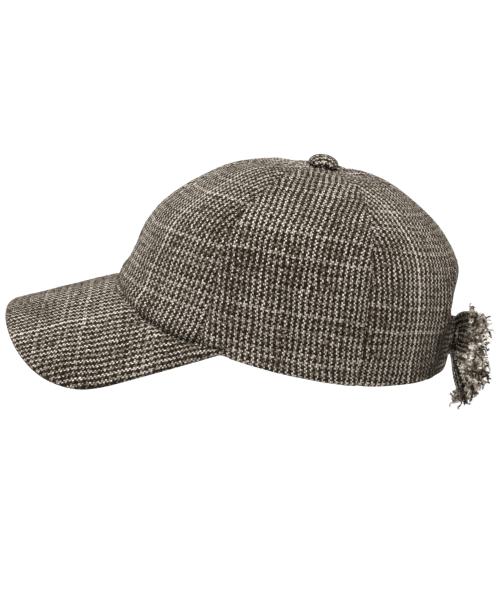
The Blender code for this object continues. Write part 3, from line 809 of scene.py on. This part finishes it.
def button():
    """Covered button: a dome whose cloth is gathered towards its foot."""
    around = np.linspace(0.0, 2.0 * np.pi, BUTTON_SIDES, endpoint=False)
    turn = 0.5 * np.pi * np.arange(1, BUTTON_RINGS + 1) / BUTTON_RINGS
    down = np.arange(1, BUTTON_SKIRT_RINGS + 1) / BUTTON_SKIRT_RINGS
    tuck = BUTTON_FOOT_RADIUS + (BUTTON_RADIUS - BUTTON_FOOT_RADIUS) * np.cos(0.5 * np.pi * down)
    dome = BUTTON_SKIRT_HEIGHT + (BUTTON_HEIGHT - BUTTON_SKIRT_HEIGHT) * np.cos(turn)
    radius = np.concatenate([BUTTON_RADIUS * np.sin(turn), tuck])[:, None]
    height = np.concatenate([dome, BUTTON_SKIRT_HEIGHT * (1.0 - down)])[:, None]
    steps = np.hypot(np.diff(radius, axis=0, prepend=0.0),
                     np.diff(height, axis=0, prepend=BUTTON_HEIGHT))
    travelled = METRES_TO_MM * np.cumsum(steps)[:, None]
    depth = smooth_step((radius / BUTTON_RADIUS - 0.75) * 4.0) * BUTTON_GATHER_DEPTH
    size = radius - depth * (0.5 + 0.5 * np.cos(BUTTON_GATHERS * around))
    seat = button_seat_height() + PIECE_GAP
    points = vectors_from(size * np.cos(around), BUTTON_SETBACK + size * np.sin(around),
                          seat + height)[::-1]
    places = np.stack([travelled * np.cos(around), travelled * np.sin(around)], axis=-1)[::-1]
    ends = vectors_from(0.0, BUTTON_SETBACK, np.array([seat, seat + BUTTON_HEIGHT]))
    places = np.concatenate([places.reshape(-1, 2), np.zeros((2, 2))]) + (55.0, 91.0)
    new_piece("tweed_button", np.concatenate([points.reshape(-1, 3), ends]),
              ring_faces(*points.shape[:2]), with_painted_shade(places, 0.0), "tweed", "button")


def peak_outline(share):
    """Outer edge of the peak in plan, from the wearer's right (0) round the front to the left (1)."""
    power = 2.0 / PEAK_FRONT_SQUARENESS
    middle = (share - 0.5) / (0.5 - PEAK_SIDE_SHARE)
    turn = 0.5 * np.pi * np.clip(middle, -1.0, 1.0)
    front_x = PEAK_HALF_WIDTH * signed_power(np.sin(turn), power)
    front_y = -PEAK_WIDEST - (PEAK_REACH - PEAK_WIDEST) * signed_power(np.cos(turn), power)
    back = np.clip((np.abs(share - 0.5) - (0.5 - PEAK_SIDE_SHARE)) / PEAK_SIDE_SHARE, 0.0, 1.0)
    corner = crown_form(peak_end_angle(), 0.0)[0] + PEAK_CORNER_OVERHANG
    side_x = PEAK_HALF_WIDTH + (corner - PEAK_HALF_WIDTH) * back ** 2
    side_y = -PEAK_WIDEST + (PEAK_WIDEST - PEAK_ROOT_END) * back
    in_front = np.abs(middle) <= 1.0
    return (np.where(in_front, front_x, np.sign(share - 0.5) * side_x),
            np.where(in_front, front_y, side_y))


def inside_crown(x, y, z):
    """Whether places lie inside the crown's outer form in its front half, grown by the gap."""
    def shares(level):
        side = CROWN_SIDE * ring_value("side_reach", level) + PIECE_GAP
        front = CROWN_FRONT * ring_value("front_reach", level) + PIECE_GAP
        across = np.abs(x / side) ** (0.5 * CROWN_SQUARENESS)
        forward = np.abs((y - BUTTON_SETBACK * level) / front) ** (0.5 * CROWN_SQUARENESS)
        return across, forward

    def is_below(level):
        across, forward = shares(level)
        facing = forward ** 2 / np.maximum(across ** 2 + forward ** 2, 1e-9)
        side_height = ring_value("side_height", level)
        end_height = ring_value("front_height", level)
        return CROWN_HEIGHT * (side_height + (end_height - side_height) * facing) < z

    level = halved(-0.4, 0.9, is_below, np.shape(z))
    across, forward = shares(level)
    return across ** 2 + forward ** 2 < 1.0


def peak_surface(x, y, lift):
    """Points of the peak, lifted off the middle of its thickness along its normal."""
    step = 0.0005
    slope_x = (peak_height(x + step, y) - peak_height(x - step, y)) / (2.0 * step)
    normal = unit(vectors_from(-slope_x, -math.tan(PEAK_SLOPE), 1.0))
    return vectors_from(x, y, peak_height(x, y)) + normal * np.asarray(lift)[..., None]


def peak_cover(node, way, seed):
    """One cloth cover of the peak: the top where way is 1, the underside where it is -1."""
    share = np.linspace(0.0, 1.0, PEAK_SPOKES)
    x, y = peak_outline(share)
    full = np.hypot(x, y)
    face = way * 0.5 * PEAK_THICKNESS

    def is_inside(part):
        point = peak_surface(x * part, y * part, face + 0.0 * part)
        return inside_crown(point[..., 0], point[..., 1], point[..., 2])

    inner = halved(0.3, 0.999, is_inside, x.shape) + FOLD_ROUNDING / full
    outer = 1.0 - FOLD_ROUNDING / full
    inner = np.minimum(inner, outer - 0.002)
    steps = np.linspace(0.0, 1.0, PEAK_STEPS)
    steps = 0.4 * steps + 0.3 * (1.0 - np.cos(np.pi * steps))
    part = inner[:, None] + (outer - inner)[:, None] * steps
    plan_x = x[:, None] * part
    plan_y = y[:, None] * part
    from_edge = (outer[:, None] - part) * full[:, None]
    rim_roll = PEAK_EDGE_ROLL if way > 0.0 else PEAK_UNDER_ROLL
    roll = rim_roll * np.clip(1.0 - from_edge / PEAK_EDGE_ROLL_REACH, 0.0, 1.0) ** 2
    from_root = (part - inner[:, None]) * full[:, None]
    at_root = np.clip(1.0 - from_root / PEAK_ROOT_ROLL_REACH, 0.0, 1.0)
    if way > 0.0:
        roll = np.maximum(roll, PEAK_ROOT_ROLL * at_root ** 2)
    flat = peak_surface(plan_x, plan_y, np.zeros_like(part))
    wander = PEAK_WANDER_DEPTH * ripples(flat, WANDER_LENGTH, seed)
    points = peak_surface(plan_x, plan_y, face + way * (wander - roll))
    places = METRES_TO_MM * np.stack([PEAK_BEND_RADIUS * np.arcsin(plan_x / PEAK_BEND_RADIUS),
                                      plan_y / math.cos(PEAK_SLOPE)], axis=-1)
    # Painted shade on the peak next to the crown
    places = with_painted_shade(places + (300.0 + 90.0 * way, 500.0), PEAK_SEAM_PAINTED_SHADE * at_root)
    points, places = points[::int(way)], places[::int(way)]
    cover = 0.5 * (PEAK_THICKNESS - PIECE_GAP) - rim_roll - PEAK_WANDER_DEPTH
    cloth_piece(node, points, places, "peak_tweed", thickness=cover)
    fuzz("tweed_" + node + "_fuzz", points, seed, "peak_tweed", False)


def knot_centre():
    level = back_place(np.array(0.0), np.array(KNOT_UP))[1]
    return np.array([0.0, crown_form(np.pi, level)[1] - KNOT_SET_IN, KNOT_UP])


def knot():
    """Pulled knot: a lump whose folds run round it aslant, with finer creases between them."""
    turn = np.linspace(0.0, 2.0 * np.pi, KNOT_SIDES, endpoint=False)
    tilt = np.linspace(-0.5 * np.pi, 0.5 * np.pi, KNOT_RINGS)[1:-1, None]
    height = np.sin(tilt)
    fold = KNOT_FOLD_DEPTH * (0.5 + 0.5 * np.cos(KNOT_FOLDS * turn + KNOT_TWIST * height))
    pinch = 0.5 + 0.5 * np.cos(KNOT_CREASES * turn + KNOT_CREASE_TWIST * height)
    depth = fold + KNOT_CREASE_DEPTH * pinch ** 3 * np.cos(tilt)
    half = 0.5 * np.array([KNOT_WIDTH, KNOT_DEPTH, KNOT_HEIGHT])
    rim = vectors_from(np.cos(tilt) * np.cos(turn), np.cos(tilt) * np.sin(turn), height)
    points = rim * (half - depth[..., None]) + knot_centre()
    ends = knot_centre() + np.array([[0.0, 0.0, -1.0], [0.0, 0.0, 1.0]]) * half
    girth = 0.25 * (KNOT_WIDTH + KNOT_DEPTH) * turn
    places = METRES_TO_MM * vectors_from(girth, 0.5 * KNOT_HEIGHT * tilt + 0.6 * girth, 0.0)
    # Painted shade in the knot's folds, strongest where they are deepest
    places[..., 2] = KNOT_PAINTED_SHADE * depth / depth.max()
    new_piece("tweed_knot", np.concatenate([points.reshape(-1, 3), ends]),
              ring_faces(*points.shape[:2]),
              np.concatenate([places.reshape(-1, 3), places[[0, -1], 0]]), "tweed", "knot")


def strap(side):
    """Band from the foot of the arch to the knot, gathered into folds where it enters it."""
    centre = knot_centre()
    foot = arch_foot_height()
    up = np.linspace(0.0, 1.0, STRAP_ROWS)[:, None]
    tucked = np.linspace(0.0, 1.0, STRAP_TUCK_COLUMNS + 1)[1:]
    share = np.concatenate([np.linspace(1.0, 0.0, STRAP_COLUMNS), np.zeros(STRAP_TUCK_COLUMNS)])
    beyond = np.concatenate([np.zeros(STRAP_COLUMNS), STRAP_TUCK * tucked])
    inset = (up - 0.5) * 2.0 * FOLD_ROUNDING
    height = foot + (STRAP_TOP - foot) * up - inset
    start_x, start_z = np.broadcast_arrays(arch_half_width(height) + beyond, height)
    angle, level = back_place(start_x, start_z)
    outward = crown_directions(angle, level)[2]
    start = vectors_from(start_x, crown_form(angle, level)[..., 1], start_z)
    under = (CLOTH + STRAP_TUCK_GAP) * (1.0 - smooth_step(3.0 * share))
    start = start - outward * under[..., None]
    end_z = centre[2] + STRAP_KNOT_HEIGHT * (up - 0.5)
    end = vectors_from(0.25 * KNOT_WIDTH, centre[1] - STRAP_KNOT_SETBACK, end_z)
    line = start + (end - start) * share[None, :, None]
    fold = STRAP_FOLD_DEPTH * share * np.cos(2.0 * np.pi * STRAP_FOLDS * up)
    gather = STRAP_GATHER_DEPTH * share ** 2 * np.cos(2.0 * np.pi * STRAP_GATHERS * up + 4.0 * share)
    bow = STRAP_BOW * np.sin(np.pi * share)
    line[..., 1] += bow + fold + gather
    wide = STRAP_TOP - foot
    long = float(length_of(start[0, 0] - end[0, 0]))
    places = METRES_TO_MM * np.stack(np.broadcast_arrays(wide * up, long * share - beyond), axis=-1)
    # Painted shade on the strap next to the hem and where it enters the knot, for the shadowed hollow
    # there
    painted_shade = np.maximum(smooth_step(2.0 * share - 0.7), 1.0 - smooth_step(2.5 * share))
    places = with_painted_shade(places + (40.0, 620.0), STRAP_PAINTED_SHADE * painted_shade)
    band = cloth_piece("strap_" + side, line, places, mirrored=side == "right")


def tail_centre(sections, place):
    places = column(sections, "along")
    parts = [smooth_value(places, column(sections, name), place) for name in ("out", "back", "up")]
    return knot_centre() + TAIL_LENGTH * np.stack(parts, axis=-1)


def tail_frame(tail, along):
    """Centres, forward, width and normal directions and widths and cups of a tail's sections."""
    sections = tail.sections
    places = column(sections, "along")
    forward = unit(tail_centre(sections, along + 0.02) - tail_centre(sections, along - 0.02))
    widest = np.array(tail.widest)
    spread = unit(widest - forward * (forward @ widest)[..., None])
    normal = unit(np.cross(forward, spread))
    width = TAIL_WIDTH * smooth_value(places, column(sections, "width"), along)
    cup = TAIL_WIDTH * smooth_value(places, column(sections, "cup"), along)
    return tail_centre(sections, along), forward, spread, normal, width, cup


def tail_point(tail, along, across):
    """Points of a tail's cupped and gathered sheet; across runs from -1 to 1."""
    along, across = np.broadcast_arrays(np.asarray(along, float), np.asarray(across, float))
    centre, forward, spread, normal, width, cup = tail_frame(tail, along)
    folds = TAIL_FOLD_DEPTH * np.cos(2.5 * np.pi * across) * (1.1 - along)
    gathers = TAIL_GATHER_DEPTH * np.cos(TAIL_GATHERS * np.pi * across + 3.0 * along)
    depth = cup * across * across + folds + gathers * (1.0 - 0.7 * along)
    return centre + spread * (0.5 * width * across)[..., None] + normal * depth[..., None]


def tail_piece(side, tail):
    """Flared end of a strap beyond the knot."""
    along = np.linspace(0.0, 1.0, TAIL_ROWS)[:, None]
    edge = 1.0 - 2.0 * FOLD_ROUNDING / TAIL_WIDTH
    across = np.linspace(-edge, edge, TAIL_COLUMNS)
    points = tail_point(tail, along, across)
    points = points + grid_directions(points)[2] * (0.5 * CLOTH)
    places = METRES_TO_MM * vectors_from(0.5 * TAIL_WIDTH * across, TAIL_LENGTH * along, 0.0)
    places = places + (140.0, 730.0, 0.0)
    # Painted shade on the tail next to the knot
    places[..., 2] = TAIL_PAINTED_SHADE * (1.0 - smooth_step(3.5 * along))
    return cloth_piece("tail_" + side, points, places, mirrored=side == "right")


def ribbons(roots, middles, tips, width, chance):
    """Fine fibres as two-step ribbons; each starts wide and ends in half its width."""
    side = unit(np.cross(tips - roots, chance.normal(size=roots.shape)))
    half = 0.5 * width * side
    corners = np.stack([roots - half, roots + half, middles - half, middles + half,
                        tips - 0.5 * half, tips + 0.5 * half], axis=1)
    start = 6 * np.arange(len(roots))[:, None]
    faces = np.concatenate([start + np.array([0, 1, 3, 2]), start + np.array([2, 3, 5, 4])])
    return corners.reshape(-1, 3), faces.tolist()


def loose_piece(name, points, faces, shades, slot, node, mirrored):
    """Loose yarns or fibres, whose own shades take the place of cloth coordinates."""
    if mirrored:
        points = points * MIRROR
        faces = [face[::-1] for face in faces]
    places = with_painted_shade(np.stack([shades, shades], axis=1), 0.0)
    return new_piece(name, points, faces, places, slot, node, "frayed_yarn")


def fuzz(name, points, seed, slot, mirrored):
    """Short fibres that stand off a piece's face."""
    chance = np.random.default_rng(seed)
    across, upward, outward = grid_directions(points)
    rows, columns = points.shape[:2]
    count = FUZZ_PER_PIECE
    area = length_of(np.cross(np.gradient(points, axis=1), np.gradient(points, axis=0))).ravel()
    picked = chance.choice(rows * columns, size=count, p=area / area.sum())
    spot = np.unravel_index(picked, (rows, columns))
    step = length_of(np.gradient(points, axis=1))[spot][:, None]
    roots = points[spot] + step * across[spot] * chance.uniform(-0.5, 0.5, (count, 1))
    lying = unit(across[spot] * chance.normal(size=(count, 1))
                 + upward[spot] * chance.normal(size=(count, 1)))
    length = FUZZ_LENGTH * chance.uniform(0.4, 1.6, (count, 1))
    roots = roots - outward[spot] * 0.0001
    middles = roots + length * (0.45 * lying + 0.30 * outward[spot])
    tips = middles + length * (0.5 * unit(chance.normal(size=(count, 3))) + 0.28 * outward[spot])
    body, faces = ribbons(roots, middles, tips, FUZZ_WIDTH, chance)
    shades = np.repeat(chance.uniform(size=count), 6)
    loose_piece(name, body, faces, shades, slot, None, mirrored)


def yarn_tube(line, radii):
    """Closed tube round a line of points."""
    forward = unit(np.gradient(line, axis=0))
    side = unit(np.cross(forward, np.array([0.31, 0.22, 0.92])))
    other = np.cross(forward, side)
    turn = np.linspace(0.0, 2.0 * np.pi, YARN_SIDES, endpoint=False)[:, None]
    ring = side[:, None] * np.cos(turn) + other[:, None] * np.sin(turn)
    points = (line[:, None] + ring * radii[:, None]).reshape(-1, 3)
    return np.concatenate([points, line[:1], line[-1:]]), ring_faces(len(line), YARN_SIDES)


def yarn(tail, across, chance):
    """One yarn of a frayed end and the fibres on it, each as points, faces and shades."""
    root = tail_point(tail, FRINGE_ROOT - tail.cover * chance.uniform(0.0, 1.0), across * FRINGE_ROOT)
    forward, spread, normal = tail_frame(tail, np.array(1.0))[1:4]
    swing = tail.fan * across + tail.tilt + YARN_SWING * chance.normal()
    direction = unit(forward + spread * swing + normal * (YARN_LEAN * chance.normal()))
    length = FRINGE_LENGTH * chance.uniform(0.75, 1.15)
    share = np.linspace(0.0, 1.0, YARN_STEPS)[:, None]
    curl = chance.normal(size=3)
    bend = unit(np.cross(direction, chance.normal(size=3)))
    phase = chance.uniform(0.0, 2.0 * np.pi)
    coil = YARN_COILS * 2.0 * np.pi * share + phase
    wave = bend * np.sin(coil) + np.cross(direction, bend) * np.cos(coil)
    line = root + direction * length * share + YARN_CURL * curl * share ** 2
    line = line + YARN_WAVE * np.minimum(3.0 * share, 1.0) * wave
    radii = YARN_RADIUS * (1.0 + 0.35 * np.sin(9.0 * share + phase)) * (1.0 - 0.45 * share)
    light = LIGHT_YARN if chance.integers(0, REPEAT) < LIGHT_THREADS else DARK_YARN
    shade = np.clip(light + YARN_VARIETY * chance.normal(), 0.0, 1.0)
    tube, tube_faces = yarn_tube(line, radii)
    place = chance.uniform(0.05, 1.0, YARN_FIBRES)
    roots = np.stack([np.interp(place, share[:, 0], line[:, axis]) for axis in range(3)], axis=1)
    away = unit(chance.normal(size=(YARN_FIBRES, 3)) + 0.8 * direction)
    size = FIBRE_LENGTH * chance.uniform(0.4, 1.3, (YARN_FIBRES, 1))
    middles = roots + away * 0.5 * size
    tips = middles + unit(away + 0.9 * chance.normal(size=away.shape)) * 0.5 * size
    fibres, fibre_faces = ribbons(roots, middles, tips, FIBRE_WIDTH, chance)
    tint = shade + FIBRE_VARIETY * chance.normal(size=YARN_FIBRES) + 0.06
    return [(tube, tube_faces, np.full(len(tube), shade)),
            (fibres, fibre_faces, np.repeat(np.clip(tint, 0.0, 1.0), 6))]


def fringe(side, tail):
    """Frayed edge of a tail: wavy yarns with fine fibres all round them."""
    chance = np.random.default_rng(tail.seed)
    parts = []
    for number in range(FRINGE_YARNS):
        across = 2.0 * (number + 0.5 + chance.uniform(-0.35, 0.35)) / FRINGE_YARNS - 1.0
        parts += yarn(tail, across, chance)
    points, faces, shades = zip(*parts)
    starts = np.cumsum([0] + [len(part) for part in points]).tolist()
    faces = [[corner + start for corner in face] for part, start in zip(faces, starts) for face in part]
    return loose_piece("yarn_fringe_" + side, np.concatenate(points), faces, np.concatenate(shades),
                       "frayed_yarn", "fringe_" + side, side == "right")


def tie():
    """Straps, knot, tails and frayed ends at the back."""
    knot()
    for side in TAILS:
        strap(side)
    for side, tail in TAILS.items():
        flap = tail_piece(side, tail)
        fringe(side, tail)


class Value:
    """What one of a material's nodes gives; the usual signs join it to others."""

    def __init__(self, wires, socket):
        self.wires = wires
        self.socket = socket

    def joined(self, operation, *others):
        return self.wires.math(operation, self, *others)

    __add__ = partialmethod(joined, "ADD")
    __sub__ = partialmethod(joined, "SUBTRACT")
    __mul__ = partialmethod(joined, "MULTIPLY")
    __truediv__ = partialmethod(joined, "DIVIDE")
    __mod__ = partialmethod(joined, "FLOORED_MODULO")
    __pow__ = partialmethod(joined, "POWER")
    __lt__ = partialmethod(joined, "LESS_THAN")
    __abs__ = partialmethod(joined, "ABSOLUTE")
    floor = partialmethod(joined, "FLOOR")
    fract = partialmethod(joined, "FRACT")

    def __rsub__(self, other):
        return self.wires.math("SUBTRACT", other, self)


class Wiring:
    """Shorthand for joining up one material's nodes."""

    def __init__(self, name):
        self.material = bpy.data.materials.new(name)
        MATERIALS[name] = self.material
        self.material.use_nodes = True
        self.tree = self.material.node_tree
        self.shader = self.tree.nodes["Principled BSDF"]

    def feed(self, inputs, values):
        """Link or set sockets, which are given by name or place."""
        for name, value in values.items():
            if isinstance(value, Value):
                self.tree.links.new(value.socket, inputs[name])
            else:
                inputs[name].default_value = value

    def node(self, kind, values, **settings):
        """Outputs of a new node."""
        made = self.tree.nodes.new(kind)
        for name, value in settings.items():
            setattr(made, name, value)
        self.feed(made.inputs, values)
        return [Value(self, socket) for socket in made.outputs]

    def math(self, operation, *values):
        return self.node("ShaderNodeMath", dict(enumerate(values)), operation=operation)[0]

    def choose(self, share, first, second):
        """First number where share is 0, second where it is 1."""
        return self.node("ShaderNodeMix", {0: share, 2: first, 3: second}, data_type="FLOAT")[0]

    def layer(self, name):
        return self.node("ShaderNodeUVMap", {}, uv_map=name)[0]

    def object_place(self):
        return self.node("ShaderNodeTexCoord", {})[3]

    def parts(self, vector):
        """The three numbers of a place or colour."""
        return self.node("ShaderNodeSeparateXYZ", {0: vector})

    def tones(self, share, colours):
        """Colour at a share along a row of colours set at even steps."""
        made = self.tree.nodes.new("ShaderNodeValToRGB")
        stops = made.color_ramp.elements
        for number, colour in enumerate(colours[1:-1], 1):
            stops.new(number / (len(colours) - 1.0)).color = (*colour, 1.0)
        stops[0].color = (*colours[0], 1.0)
        stops[-1].color = (*colours[-1], 1.0)
        self.feed(made.inputs, {0: share})
        return Value(self, made.outputs[0])

    def noise(self, place, scale, detail=2.0):
        """Noise over a place, as a number and as a colour."""
        return self.node("ShaderNodeTexNoise", {"Vector": place, "Scale": scale, "Detail": detail},
                         noise_dimensions="2D")

    def chance(self, number):
        return self.node("ShaderNodeTexWhiteNoise", {"W": number}, noise_dimensions="1D")[0]

    def slub(self, thread):
        """One for the few pairs of neighbouring threads that are spun paler, zero for the others."""
        return self.chance((thread * 0.5).floor() + 0.25) < SLUB_SHARE

    def finish(self, colour, roughness, sheen):
        self.feed(self.shader.inputs, {
            "Base Color": colour, "Roughness": roughness, "Specular IOR Level": SPECULAR,
            "Sheen Weight": sheen, "Sheen Roughness": SHEEN_ROUGHNESS, "Sheen Tint": SHEEN_TINT})


def tweed_material(name, brightness):
    """Plain weave of two light and two dark threads each way, with uneven, flecked yarn."""
    wires = Wiring(name)
    place = wires.layer("Cloth")
    drifts = wires.parts(wires.noise(place, DRIFT_SCALE, 1.0)[1])
    shakes = wires.parts(wires.noise(place, SHAKE_SCALE, 1.0)[1])
    u, v, _ = [part + (drift - 0.5) * DRIFT + (shake - 0.5) * SHAKE
               for part, drift, shake in zip(wires.parts(place), drifts, shakes)]
    warp_count = u / WARP_PITCH
    weft_count = v / WEFT_PITCH
    warp = warp_count.floor() + 0.5
    weft = weft_count.floor() + 0.5
    warp_light = warp % REPEAT < LIGHT_THREADS
    weft_light = weft % REPEAT < LIGHT_THREADS
    weft_number = weft + WEFT_NUMBERS_FROM
    over = (warp + weft - 0.5) % 2.0 < 1.0
    thread = wires.choose(over, weft_number, warp)
    along = wires.choose(over, u, v)
    across = wires.choose(over, weft_count.fract(), warp_count.fract())
    between = wires.choose(over, warp_count.fract(), weft_count.fract())
    warp_tone = wires.choose(warp_light, DARK_WARP, LIGHT_WARP)
    weft_tone = wires.choose(weft_light, DARK_WEFT, LIGHT_WEFT)
    warp_slub = wires.choose(over, WARP_SLUB_SHOWN, WARP_SLUB_PALER) * wires.slub(warp) * warp_light
    weft_slub = wires.choose(over, WEFT_SLUB_PALER, 0.0) * wires.slub(weft_number)
    ends = {0: thread * HEATHER_PER_THREAD, 1: along * HEATHER_ALONG}
    heather = wires.noise(wires.node("ShaderNodeCombineXYZ", ends)[0], 1.0, 3.0)[0]
    fleck = wires.noise(place, FLECK_SCALE, 3.0)[0]
    clouds = wires.noise(place, CLOUD_SCALE, 1.0)[0]
    variety = (wires.chance(thread) - 0.5) * THREAD_VARIETY + (heather - 0.5) * HEATHER
    variety = variety + (fleck - 0.5) * FLECK + (clouds - 0.5) * CLOUDING + warp_slub + weft_slub
    plain_tone = wires.choose(over, weft_tone, warp_tone)
    part = plain_tone * (1.0 - EVENNESS_OF_DARK) + EVENNESS_OF_DARK
    colour = wires.tones(variety * part + plain_tone, YARN_TONES)
    # Painted shade between threads and at their crossings, also used as the threads' relief
    round_across = 1.0 - abs((across - 0.5) * 2.0) ** THREAD_ROUNDNESS * SHADE_BETWEEN_THREADS
    round_along = 1.0 - abs((between - 0.5) * 2.0) ** THREAD_ROUNDNESS * SHADE_AT_CROSSINGS
    height = round_across * round_along
    # Painted shade from the second UV layer darkens the colour at seams, creases and shadowed hollows
    painted_shade = wires.parts(wires.layer("PaintedShade"))[0]
    shade = (height * (1.0 - LEAST_SHADE) + LEAST_SHADE) * (1.0 - painted_shade * PAINTED_SHADE_STRENGTH) * brightness
    shaded = wires.node("ShaderNodeVectorMath", {0: colour, "Scale": shade}, operation="SCALE")[0]
    relief = height + (fleck - 0.5) * FLECK_BUMP
    bump = {"Strength": BUMP_STRENGTH, "Distance": BUMP_DISTANCE, "Height": relief}
    wires.feed(wires.shader.inputs, {"Normal": wires.node("ShaderNodeBump", bump)[0]})
    wires.finish(shaded, 0.95, 0.10)


def yarn_material(name):
    """Loose fluffy yarn, from near black over taupe to cream by each yarn's own shade."""
    wires = Wiring(name)
    shade = wires.parts(wires.layer("Cloth"))[0]
    mottle = wires.noise(wires.object_place(), YARN_MOTTLE_SCALE)[0]
    wires.finish(wires.tones(shade + (mottle - 0.5) * YARN_MOTTLE, LOOSE_TONES), 1.0, 0.15)


def plain_material(name, colour):
    """Nearly even colour with a little grain."""
    wires = Wiring(name)
    grain = wires.noise(wires.object_place(), 3.0)[0]
    darker = tuple(0.985 * part for part in colour)
    wires.finish(wires.tones(grain, (darker, colour)), 0.9, 0.0)
    return wires.material


def camera():
    """Camera at the photograph's viewing angle."""
    toward = Vector((math.sin(CAMERA_AZIMUTH) * math.cos(CAMERA_ELEVATION),
                     -math.cos(CAMERA_AZIMUTH) * math.cos(CAMERA_ELEVATION),
                     math.sin(CAMERA_ELEVATION)))
    right = Vector((math.cos(CAMERA_AZIMUTH), math.sin(CAMERA_AZIMUTH), 0.0))
    up = toward.cross(right)
    made = bpy.data.objects.new("camera", bpy.data.cameras.new("camera"))
    made.data.sensor_width = CAMERA_SENSOR
    made.data.lens = CAMERA_SENSOR * CAMERA_DISTANCE / VIEW_HEIGHT
    made.data.clip_end = 2.0 * FLOOR_SIZE
    made.rotation_mode = "QUATERNION"
    made.location = right * AIM_RIGHT + up * AIM_UP + toward * CAMERA_DISTANCE
    made.rotation_quaternion = (-toward).to_track_quat("-Z", "Y")
    bpy.context.scene.collection.objects.link(made)
    bpy.context.scene.camera = made


def studio():
    """Plain pale floor well below the held-up cap, and soft light."""
    mesh = bpy.data.meshes.new("floor")
    half = 0.5 * FLOOR_SIZE
    corners = [(-half, -half, -FLOOR_DROP), (half, -half, -FLOOR_DROP),
               (half, half, -FLOOR_DROP), (-half, half, -FLOOR_DROP)]
    mesh.from_pydata(corners, [], [(0, 1, 2, 3)])
    mesh.materials.append(plain_material("floor", FLOOR_GREY))
    floor = bpy.data.objects.new("floor", mesh)
    bpy.context.scene.collection.objects.link(floor)
    world = bpy.data.worlds.new("studio")
    world.use_nodes = True
    world.node_tree.nodes["Background"].inputs[0].default_value = (1.0, 1.0, 1.0, 1.0)
    world.node_tree.nodes["Background"].inputs[1].default_value = WORLD_STRENGTH
    bpy.context.scene.world = world
    key = bpy.data.lights.new("key", "SUN")
    key.energy = KEY_STRENGTH
    key.angle = KEY_SPREAD
    lamp = bpy.data.objects.new("key", key)
    lamp.rotation_mode = "QUATERNION"
    lamp.rotation_quaternion = Vector(KEY_DIRECTION).to_track_quat("Z", "Y")
    bpy.context.scene.collection.objects.link(lamp)
    bpy.context.scene.view_settings.view_transform = "Standard"
    bpy.context.scene.view_settings.look = "None"


yarn_material("frayed_yarn")
tweed_material("tweed", 1.0)
tweed_material("peak_tweed", 0.95)
camera()
studio()
crown()
button()
peak_cover("peak_top", 1.0, 211)
peak_cover("peak_under", -1.0, 212)
tie()
